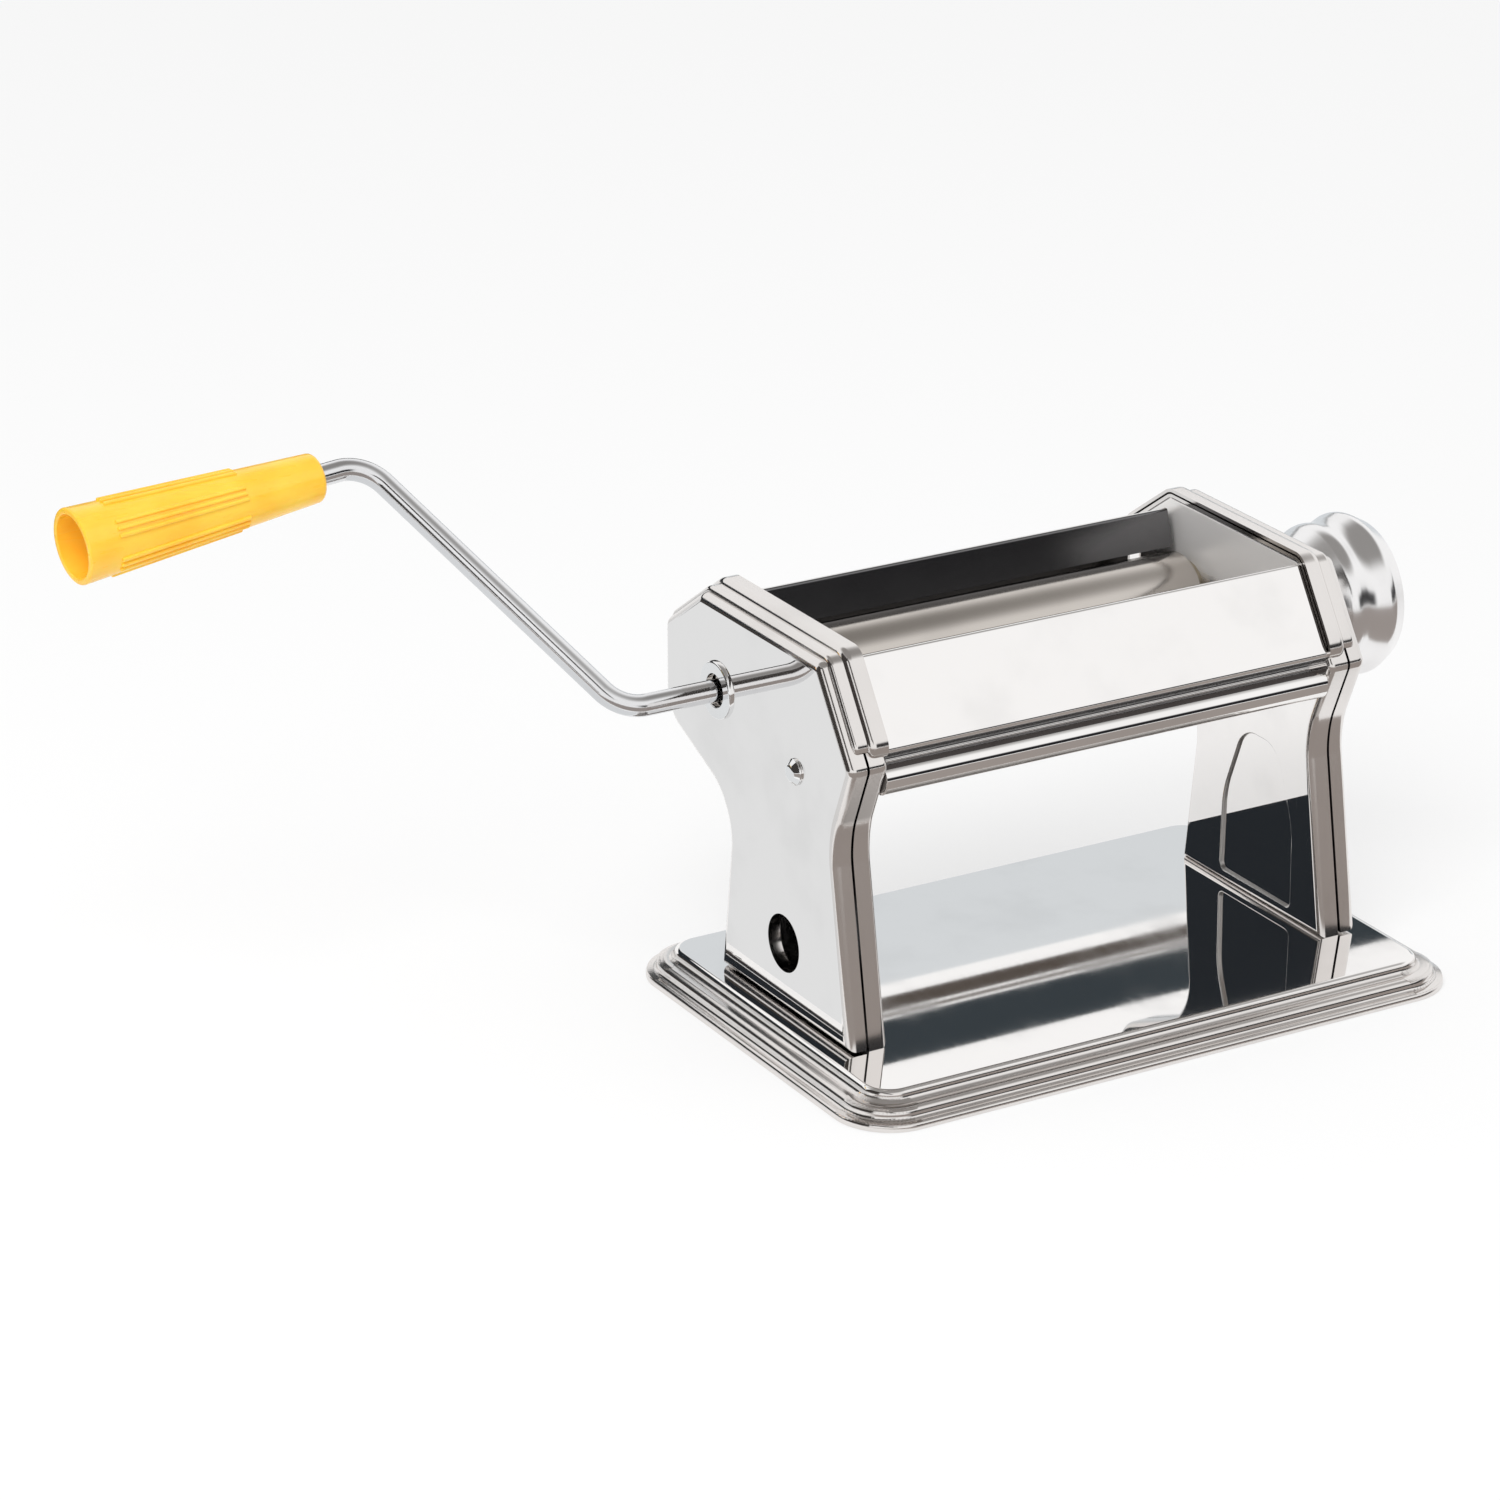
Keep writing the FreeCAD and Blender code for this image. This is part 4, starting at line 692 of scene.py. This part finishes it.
# %% [markdown]
# The left cover has holes for the crank, the table clamp and a screw, and the right one for the knob's
# spindle and a screw. The clamp's hole has its edge turned in, which is a short tube from the lathe. The
# face is a mirror that ends in satin bends, and the terraces are satin all over.

# %% Side covers
DRIVE_AXIS = (39.8, 94.6)
KNOB_AXIS = (12.3, 95.725)
IDLE_AXIS = (12.3, 94.6)
CLAMP = (2.0, 29.6)
LEFT_SCREW = (-4.2, 84.7)
RIGHT_SCREW = (-4.2, 67.0)
COVER_FOOT = 9.2
COVER = {"top": 88.0, "low": 82.1, "radius": 2.8}
TERRACE_STEP = 1.6
TERRACE_ONE = {"top": 85.0, "low": 75.0, "radius": 1.3, "band": 3.2}
TERRACE_TWO = {"top": 81.0, "low": 75.0, "radius": 2.4, "band": 3.6}
CLAMP_LIP = [(-87.4, 8.7, 0), (-84.0, 8.7, 0), (-84.0, 9.5, 0), (-87.0, 9.5, 0), (-87.4, 8.7, 0)]


def side_cover(name, side, node, holes):
    face = pan(name, side, side_outline(COVER_FOOT), **COVER)
    for y, z, diameter in holes:
        drill(face, side * (COVER["top"] - COVER_SHEET / 2), y, z, diameter)
    one = pan(name + "_one", side, head_outline(TERRACE_STEP), **TERRACE_ONE)
    two = pan(name + "_two", side, head_outline(2 * TERRACE_STEP), **TERRACE_TWO)
    if side < 0:
        face = join([face, turned("clamp_lip", *CLAMP, CLAMP_LIP, 72)])
    paint(face, mirror_sheet, satin_rim, plain_steel, choose=by_side(side))
    paint(one, satin_rim)
    paint(two, satin_rim)
    hand_over(join([face, one, two]), None, "frame", node)


side_cover("cover_piece_left", -1, "side_cover_left",
           [(*DRIVE_AXIS, 14.0), (*CLAMP, 17.4), (*LEFT_SCREW, 4.2)])
side_cover("cover_piece_right", 1, "side_cover_right",
           [(*KNOB_AXIS, 12.8), (*RIGHT_SCREW, 4.2)])

# %% [markdown]
# Behind each cover stands the inner plate, a pan that opens outwards, with its own head. A leg and a head
# are pulled out of two outlines and joined by a Boolean, and the hollow comes from Solidify once the open
# side is deleted. The arch on the leg is pressed in to stiffen it: a second Boolean sinks it and a bevel
# rounds its edges.

# %% Inner plates
PLATE_FACE = 75.0
PLATE_LEG = 81.3
PLATE_HEAD = 80.0
PLATE_FOOT = 8.6
PLATE_STEP = 1.7
PLATE_EDGE = 2.1
PLATE_SHEET = 1.2
ARCH = [(-18.0, 12.5, 2.0), (-17.5, 38.0, 26.0), (-8.5, 61.0, 9.0),
        (8.5, 61.0, 9.0), (17.5, 38.0, 26.0), (18.0, 12.5, 2.0)]
ARCH_FLOOR = 75.9
ARCH_EDGE = 0.55
ARCH_REACH = 18.7
ARCH_LOW = 11.9
ARCH_HIGH = 61.7


def block(name, side, corners, near_x, far_x):
    """A closed block between two distances from the middle of the machine."""
    piece = outline_plate(name, side * near_x, corners)
    pull((side * (far_x - near_x) * MM, 0, 0))
    outwards()
    bpy.ops.object.mode_set(mode="OBJECT")
    return piece


def on_arch(place):
    """A test for places on the arch, with a little room round it."""
    return abs(place.y) < ARCH_REACH * MM and ARCH_LOW * MM < place.z < ARCH_HIGH * MM


def inner_plate(name, side, holes):
    piece = block("plate_" + name, side, side_outline(PLATE_FOOT), PLATE_FACE, PLATE_LEG)
    cut(piece, block("head", side, head_outline(PLATE_STEP), PLATE_FACE, PLATE_HEAD), "UNION")
    bpy.ops.object.mode_set(mode="EDIT")
    bpy.ops.mesh.select_all(action="SELECT")
    bpy.ops.mesh.dissolve_limited(angle_limit=math.radians(0.2))
    outwards()
    for open_side in (PLATE_LEG, PLATE_HEAD):
        pick("FACE", near(0, side * open_side))
        bpy.ops.mesh.delete(type="ONLY_FACE")
    pick("EDGE", near(0, side * PLATE_FACE))
    soften(PLATE_EDGE, 7)
    thicken(piece, PLATE_SHEET)
    cut(piece, block("arch", side, ARCH, PLATE_FACE - 1.0, ARCH_FLOOR))
    bpy.ops.object.mode_set(mode="EDIT")
    pick("EDGE", lambda place: near(0, side * PLATE_FACE)(place) and on_arch(place))
    soften(ARCH_EDGE, 4)
    for y, z, diameter in holes:
        drill(piece, side * (PLATE_FACE + PLATE_SHEET / 2), y, z, diameter, 3)
    # The hidden outer side takes the near-black steel as painted shade, and the edges of the pressed arch
    # take the darker plain steel, a painted shade line along its crease.
    rims = by_side(-side)
    paint(piece, plate_sheet, satin_rim, painted_shade_steel, plain_steel,
          choose=lambda face: 3 if on_arch(face.center) and rims(face) == 1 else rims(face))
    hand_over(piece, None, "frame", "inner_plate_" + name)


inner_plate("left", -1, [(*DRIVE_AXIS, 16.1), (*IDLE_AXIS, 20.8), (*CLAMP, 17.4)])
inner_plate("right", 1, [(*DRIVE_AXIS, 16.1), (*KNOB_AXIS, 16.1)])

# %% [markdown]
# The covers beside the dough slot are bent sheets. One edge of a plane is pulled from bend to bend, the
# bends are bevelled, and the last edge is spun into the roll under the lip. Solidify then gives the sheet
# its thickness. The outside is polished; inside and under the lip, near-black steel is painted shade.

# %% Front and rear covers
GUIDE_SHEET = 0.8
LIP_ABOVE_ROLL = 4.7
AWAY = -0.3


def bent_sheet(name, node, half, route, roll, sweep, outside):
    """A sheet along a route of (y, z, bend), ended by a roll round a centre."""
    piece = open_piece(name, bpy.ops.mesh.primitive_plane_add, size=1)
    bpy.ops.mesh.select_all(action="SELECT")
    bpy.ops.transform.resize(value=(2 * half * MM, 1, 1))
    points = [Vector((0, y * MM, z * MM)) for y, z, _ in route]
    for edge, point in ((-0.5, points[0]), (0.5, points[1])):
        pick("VERT", lambda place: abs(place.y - edge) < TOUCH)
        bpy.ops.transform.translate(value=point - Vector((0, edge, 0)))

    def fold(point):
        return lambda place: abs(place.y - point.y) < TOUCH and abs(place.z - point.z) < TOUCH

    # Faces inside the bends and under the lip take the near-black steel: painted shade, and under the lip
    # a painted dark reflection.
    def inside(face):
        under_lip = face.normal.z < AWAY and face.center.z > (roll[1] + LIP_ABOVE_ROLL) * MM
        return 1 if under_lip or face.normal.dot(outside) < AWAY else 0

    for here, there in zip(points[1:], points[2:]):
        pick("EDGE", fold(here))
        pull(there - here)
    pick("EDGE", fold(points[-1]))
    bpy.ops.mesh.spin(steps=36, angle=-math.radians(sweep), axis=(1, 0, 0),
                      center=(0, roll[0] * MM, roll[1] * MM))
    for before, point, after, (_, _, bend) in zip(points, points[1:], points[2:], route[1:]):
        if bend:
            half_angle = (before - point).angle(after - point) / 2
            pick("EDGE", fold(point))
            soften(bend / math.tan(half_angle), 6)
    outwards()
    mesh = bmesh.from_edit_mesh(piece.data)
    panel = max(mesh.faces, key=lambda face: face.calc_area())
    if panel.normal.dot(outside) < 0:
        bpy.ops.mesh.flip_normals()
    thicken(piece, GUIDE_SHEET)
    paint(piece, mirror_sheet, painted_shade_steel, choose=inside)
    hand_over(piece, None, "frame", node)


bent_sheet("front_sheet", "front_cover", 75.0, [
    (-9.8, 111.8, 0), (-16.8, 121.9, 1.0), (-33.0, 97.6, 1.6), (-26.6, 92.8, 0.6), (-28.3, 92.8, 0),
], (-28.3, 88.2), 270, Vector((0, -1, 0)))
bent_sheet("rear_sheet", "rear_cover", 72.7, [
    (45.1, 107.8, 0), (48.4, 119.4, 1.0), (69.3, 106.3, 2.0), (69.3, 92.0, 2.0), (58.4, 87.6, 0.6),
    (60.0, 87.6, 0),
], (60.0, 83.0), -270, Vector((0, 1, 0)))

# %% [markdown]
# The knob opens like a tulip: a hub, a round shoulder, a waist and a flared rim, with a dish in its end.
# It is one profile on the lathe, and the large corner radii give it its soft lines. Its finish is a
# little duller than the ring and the screws, because it is handled.

# %% Knob
knob = turned("knob_turned", *KNOB_AXIS, [
    (98.7, 4.05, 0), (98.7, 7.0, 0), (115.3, 7.0, 0.8), (115.3, 18.0, 1.5), (119.3, 18.0, 0.8),
    (119.3, 22.0, 1.0), (113.7, 25.0, 3.0), (107.7, 22.6, 8.0), (101.7, 23.3, 5.0), (93.7, 17.5, 2.0),
    (89.7, 17.5, 0.4), (89.7, 4.05, 0), (98.7, 4.05, 0)], 128)
hand_over(knob, knob_chrome, "knob", "adjusting_knob")

# %% [markdown]
# Inside the knob a coil spring presses it home against the side of the machine. A small ring of vertices
# is the wire's section, and a Screw modifier winds it round X. When the knob is pulled out the real coil
# shortens.

# %% Knob spring
WIRE = 1.1
COIL_RADIUS = 5.3
COILS = 4
low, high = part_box("knob_spring")
length = high[0] - low[0]
knob_y, knob_z = (value * MM for value in KNOB_AXIS)
spring = open_piece("coil_spring", bpy.ops.mesh.primitive_circle_add, vertices=14, radius=WIRE / 2 * MM)
bpy.ops.mesh.select_all(action="SELECT")
bpy.ops.transform.translate(value=(0, COIL_RADIUS * MM, 0))
shape(spring, "SCREW", axis="X", screw_offset=(length - WIRE * MM) / COILS, iterations=COILS,
      steps=32, render_steps=32)
bpy.ops.object.mode_set(mode="EDIT")
outwards()
bpy.ops.mesh.select_all(action="DESELECT")
bpy.ops.mesh.select_non_manifold()
bpy.ops.mesh.edge_face_add()
outwards()
bpy.ops.object.mode_set(mode="OBJECT")
spring.location = (low[0] + WIRE / 2 * MM, knob_y, knob_z)
hand_over(spring, plain_steel, "adjuster", "knob_spring")
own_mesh(spring)
print("coil spring from x", round(low[0] / MM, 2), "to", round(high[0] / MM, 2), "mm")

# %% [markdown]
# The crank's hole is framed by a polished ring, and each cover is held by one small domed screw, with no
# slot that shows. All three are short profiles on the lathe. The two screws are joined, because they
# stand for one CAD node.

# %% Ring and screws
ring = turned("crank_ring", *DRIVE_AXIS, [
    (-87.0, 5.0, 0), (-87.0, 6.98, 0), (-88.0, 6.98, 0), (-88.0, 8.7, 0), (-89.1, 8.7, 0.6),
    (-89.1, 5.0, 0.3), (-87.0, 5.0, 0)])
hand_over(ring, turned_chrome, "frame", "crank_bush")
heads = []
for side, screw in ((-1, LEFT_SCREW), (1, RIGHT_SCREW)):
    heads.append(turned("screw_head", *screw, [
        (side * 84.8, 0, 0), (side * 84.8, 2.0, 0), (side * 88.0, 2.0, 0), (side * 88.0, 3.9, 0.2),
        (side * 88.6, 3.9, 0.3), (side * 90.2, 2.2, 1.6), (side * 90.2, 0, 0)], 48))
screws = join(heads)
screws.name = "screw_heads"
hand_over(screws, turned_chrome, "frame", "cover_screws", 50)

# %% [markdown]
# The crank is one round bar, bent twice. A circle is pulled along the roller's axis, spun through the
# first bend, pulled up the slope, spun through the second bend and pulled into the grip. It is made lying
# flat, which keeps the numbers simple. A flat is cut at its end, where the roller's socket drives it, and
# the whole crank is then turned to its place.

# %% Crank rod
ROD_RADIUS = 3.3
BEND_RADIUS = 13.0
ROD_END = -58.4
FIRST_BEND = (-119.2, 0.0)
SECOND_BEND = (-167.9, 89.8)
GRIP_RUN = 62.8
LEAN = math.radians(5.6)
CRANK_TURN = math.radians(45)
FLAT_TOOL = Vector((28.4, 5.0, 10.0))
FLAT_PLACE = Vector((-72.6, 4.8, 0.0))


def crank():
    leave_edit()
    bpy.ops.mesh.primitive_circle_add(vertices=32, radius=ROD_RADIUS * MM, fill_type="NOTHING",
                                      location=(ROD_END * MM, 0, 0), rotation=(0, math.pi / 2, 0))
    piece = bpy.context.object
    piece.name = "crank_bar"
    bpy.ops.object.transform_apply(location=True, rotation=True, scale=True)
    tip = (SECOND_BEND[0] - GRIP_RUN * math.cos(LEAN), SECOND_BEND[1] - GRIP_RUN * math.sin(LEAN))
    points = [Vector((x * MM, y * MM, 0)) for x, y in ((ROD_END, 0), FIRST_BEND, SECOND_BEND, tip)]
    bpy.ops.object.mode_set(mode="EDIT")
    pick_all("EDGE")
    here = points[0]
    for before, corner, after in zip(points, points[1:], points[2:]):
        come = (corner - before).normalized()
        go = (after - corner).normalized()
        turn = math.atan2(come.x * go.y - come.y * go.x, come.dot(go))
        reach = BEND_RADIUS * MM * math.tan(abs(turn) / 2)
        start = corner - come * reach
        pull(start - here)
        aside = Vector((-come.y, come.x, 0)) * math.copysign(BEND_RADIUS * MM, turn)
        bpy.ops.mesh.spin(steps=20, angle=-turn, center=start + aside, axis=(0, 0, 1))
        here = corner + go * reach
    pull(points[-1] - here)
    bpy.ops.mesh.edge_face_add()
    pick("VERT", near(0, ROD_END))
    bpy.ops.mesh.edge_face_add()
    outwards()
    leave_edit()
    bpy.ops.mesh.primitive_cube_add(size=1, location=FLAT_PLACE * MM, scale=FLAT_TOOL * MM)
    cut(piece, bpy.context.object)
    piece.rotation_euler = (CRANK_TURN, 0, 0)
    piece.location = (0, DRIVE_AXIS[0] * MM, DRIVE_AXIS[1] * MM)
    hand_over(piece, drawn_rod, "crank", "crank_rod")


crank()

# %% [markdown]
# The grip is a thin moulded tube, wider at its open end, with six groups of fine ribs for the fingers. It
# is made along X first. One rib is a bar with a rounded back that follows the taper. It is modelled once
# and copied round the axis, each copy with a mesh of its own, so that one Boolean can add them all.

# %% Grip ribs
GRIP_LENGTH = 78.0
GRIP_RADIUS = 7.2
GRIP_FLARE = 4.0
RIB_START = 26.0
RIB_END = 68.0
RIB_GROUPS = 6
RIBS_IN_GROUP = 3
RIB_ANGLE = 11.0
RIB_WIDTH = 1.2
RIB_HEIGHT = 1.8
RIB_SINK = 0.1
RIB_EDGE = 0.42


def grip_radius(distance):
    return GRIP_RADIUS + GRIP_FLARE * distance / GRIP_LENGTH


def rib():
    """A rib along the top of the grip that follows its taper."""
    piece = open_piece("rib", bpy.ops.mesh.primitive_cube_add, size=1)
    bpy.ops.mesh.select_all(action="SELECT")
    bpy.ops.transform.resize(value=((RIB_END - RIB_START) * MM, RIB_WIDTH * MM, RIB_HEIGHT * MM))
    middle = (RIB_START + RIB_END) / 2
    start = grip_radius(RIB_START)
    bpy.ops.transform.translate(value=(middle * MM, 0, (start - RIB_SINK) * MM))
    pick("FACE", near(0, RIB_END))
    bpy.ops.transform.translate(value=(0, 0, (grip_radius(RIB_END) - start) * MM))
    pick("EDGE", lambda place: place.z > start * MM)
    soften(RIB_EDGE, 3)
    bpy.ops.object.mode_set(mode="OBJECT")
    return piece


def copy_round(piece, turn):
    """A copy of a piece with its own mesh, turned round X."""
    leave_edit()
    piece.select_set(True)
    bpy.context.view_layer.objects.active = piece
    bpy.ops.object.duplicate()
    made = bpy.context.object
    made.rotation_euler = (turn, 0, 0)
    bpy.ops.object.transform_apply(location=False, rotation=True, scale=False)
    return made


def all_ribs():
    first = rib()
    copies = []
    for group in range(RIB_GROUPS):
        for number in range(RIBS_IN_GROUP):
            turn = 360 / RIB_GROUPS * (group + 0.5) + RIB_ANGLE * (number - 1)
            copies.append(copy_round(first, math.radians(turn)))
    bpy.data.objects.remove(first)
    return join(copies)


print("ribs:", RIB_GROUPS * RIBS_IN_GROUP)

# %% [markdown]
# The tube has a narrow bore for the rod and a wide hollow behind it, open at the end. It comes off the
# lathe with its thin end at the origin. Then it is turned to lie along the rod, which leans in a little
# towards the crank's axis, and moved to the place where the rod goes into it.

# %% Grip
BORE = 3.35
BORE_END = 44.0
WALL = 1.9
GRIP_PLACE = Vector((-183.426, 102.222, 157.022))


def grip():
    wide = grip_radius(GRIP_LENGTH)
    hollow = grip_radius(BORE_END)
    piece = turned("grip_moulding", 0, 0, [
        (0, BORE, 0), (BORE_END, BORE, 0), (BORE_END, hollow - WALL, 1.0), (GRIP_LENGTH, wide - WALL, 0.4),
        (GRIP_LENGTH, wide, 0.7), (0, GRIP_RADIUS, 1.5), (0, BORE, 0)], 96)
    cut(piece, all_ribs(), "UNION")
    inwards = math.sin(LEAN) * math.sqrt(0.5)
    along = Vector((-math.cos(LEAN), -inwards, -inwards))
    piece.rotation_euler = Vector((1, 0, 0)).rotation_difference(along).to_euler()
    piece.location = GRIP_PLACE * MM
    hand_over(piece, yellow_plastic, "grip", "crank_grip")


grip()

# %% [markdown]
# The studio is a white floor under a big soft white dome. In the picture the floor fades into the
# background, so it glows a little besides being lit: a Mix Shader blends a diffuse and an emitting one.

# %% Floor
leave_edit()
bpy.ops.mesh.primitive_plane_add(size=12, location=(0, 0, -0.0002))
floor = bpy.context.object
floor.name = "floor"
material, make = finish("floor_white")
lit = make.node("ShaderNodeBsdfDiffuse", inputs={"Color": (0.92, 0.92, 0.92, 1.0)})
glow = make.node("ShaderNodeEmission", inputs={"Color": (1.0, 1.0, 1.0, 1.0), "Strength": 1.0})
seen = make.node("ShaderNodeMixShader", inputs={"Fac": 0.6, 1: lit, 2: glow})
make.node("ShaderNodeOutputMaterial", inputs={"Surface": seen})
floor.data.materials.append(material)
print("floor:", round(floor.dimensions.x, 1), "m wide")

# %% [markdown]
# Polished steel shows little of its own: it shows the room. So the dome has two faces. The camera and
# the soft light see it plain, and reflections see a room with a grey ceiling and a dark low part at the
# right front, which gives the steel its contrast.

# %% Room
WHITE = (1.0, 1.0, 1.0, 1.0)
SOFT_LIGHT = (0.78, 0.78, 0.78, 1.0)
CEILING = (0.30, 0.29, 0.28, 1.0)
DARK_PART = (0.02, 0.02, 0.022, 1.0)
world = bpy.data.worlds.new("studio")
bpy.context.scene.world = world
make = Finish(world)
ray = make.node("ShaderNodeTexCoord", output="Generated")
x, y, z = make.split(ray)
front = make.ramp(0.0 - y, 0.15, 0.5)
below = 1.0 - make.ramp(z, 0.22, 0.34)
right = make.ramp(x, 0.12, 0.34)
walls = make.mix(make.ramp(z, 0.66, 0.90), WHITE, CEILING)
room = make.mix(front * below * right, walls, DARK_PART)
mirrored = make.node("ShaderNodeLightPath", output="Is Glossy Ray")
by_camera = make.node("ShaderNodeLightPath", output="Is Camera Ray")
plain = make.mix(by_camera, SOFT_LIGHT, WHITE)
sky = make.mix(mirrored, plain, room)
background = make.node("ShaderNodeBackground", inputs={"Color": sky, "Strength": 1.0})
make.node("ShaderNodeOutputWorld", inputs={"Surface": background})
print("room nodes:", len(world.node_tree.nodes))

# %% [markdown]
# One large soft box above the left front gives the object its soft shadow. Reflections don't see it,
# because a white square in every bevel would burn out the edges.

# %% Lamp


def soft_box(name, place, aim, width, height, power):
    bpy.ops.object.light_add(type="AREA", location=place)
    lamp = bpy.context.object
    lamp.name = name
    lamp.data.shape = "RECTANGLE"
    lamp.data.size = width
    lamp.data.size_y = height
    lamp.data.energy = power
    lamp.rotation_euler = (Vector(aim) - Vector(place)).to_track_quat("-Z", "Y").to_euler()
    return lamp


key = soft_box("key", (-0.9, -0.7, 1.5), (0, 0, 0.05), 1.0, 1.0, 16.0)
key.visible_glossy = False
print("lamp:", key.name, key.data.energy, "W")

# %% [markdown]
# Cards stand where the studio has its corners, battens and tables, as a photographer would put black and
# grey boards beside a shiny object. Only reflections see them: they throw no shadow and don't show in the
# picture. Each is a plane between two corners, upright or lying, with one flat colour.

# %% A reflected card


def card(name, low, high, colour):
    """A flat card between two corners that only reflections see."""
    reach = Vector(high) - Vector(low)
    turn, width, height = (0, 0, 0), reach.x, reach.y
    if reach.y == 0:
        turn, height = (math.pi / 2, 0, 0), reach.z
    if reach.x == 0:
        turn, width = (0, math.pi / 2, 0), reach.z
    leave_edit()
    bpy.ops.mesh.primitive_plane_add(size=1, location=(Vector(low) + Vector(high)) / 2, rotation=turn)
    made = bpy.context.object
    made.name = name
    made.scale = (width, height, 1)
    made.visible_camera = False
    made.visible_diffuse = False
    made.visible_shadow = False
    made.visible_transmission = False
    material, make = finish(name)
    flat = make.node("ShaderNodeEmission", inputs={"Color": colour, "Strength": 1.0})
    make.node("ShaderNodeOutputMaterial", inputs={"Surface": flat})
    made.data.materials.append(material)


print("card maker ready")

# %% [markdown]
# Behind the machine stand the dark corner, three battens and a pale wall, which the base and the right
# inner plate mirror. On the floor lie a pale and a grey field for the left cover and the base's edges.
# The dark cards at the left draw the dark lines along the rounded edges of covers and plates.

# %% Cards
NEARLY_BLACK = (0.05, 0.045, 0.042, 1.0)
CARDS = [
    ("dark_corner", (-0.9, 0.35, 0.145), (0.04, 0.35, 0.24), (0.020, 0.024, 0.029, 1.0)),
    ("brown_batten", (0.06, 0.35, 0.1985), (0.60, 0.35, 0.2045), (0.085, 0.070, 0.060, 1.0)),
    ("grey_batten", (0.06, 0.35, 0.2055), (0.60, 0.35, 0.2070), (0.16, 0.14, 0.125, 1.0)),
    ("slate_batten", (0.06, 0.35, 0.2080), (0.60, 0.35, 0.2265), (0.040, 0.050, 0.058, 1.0)),
    ("pale_wall", (0.06, 0.36, 0.02), (0.75, 0.36, 0.1985), (0.70, 0.735, 0.76, 1.0)),
    ("pale_floor", (-1.3, -0.04, 0.0), (-0.107, 1.5, 0.0), (0.80, 0.815, 0.825, 1.0)),
    ("grey_table", (-0.9, -1.2, 0.0), (1.2, -0.0715, 0.0), (0.34, 0.305, 0.285, 1.0)),
    ("dark_back_left", (-1.2, 0.345, 0.03), (-0.21, 0.345, 0.145), NEARLY_BLACK),
    ("dark_left", (-0.75, -0.35, 0.06), (-0.75, 0.35, 1.0), NEARLY_BLACK),
    ("dark_front_left", (-0.75, -2.0, 0.72), (-0.75, -0.35, 1.3), NEARLY_BLACK),
]
for row in CARDS:
    card(*row)
print("cards:", [row[0] for row in CARDS])

# %% [markdown]
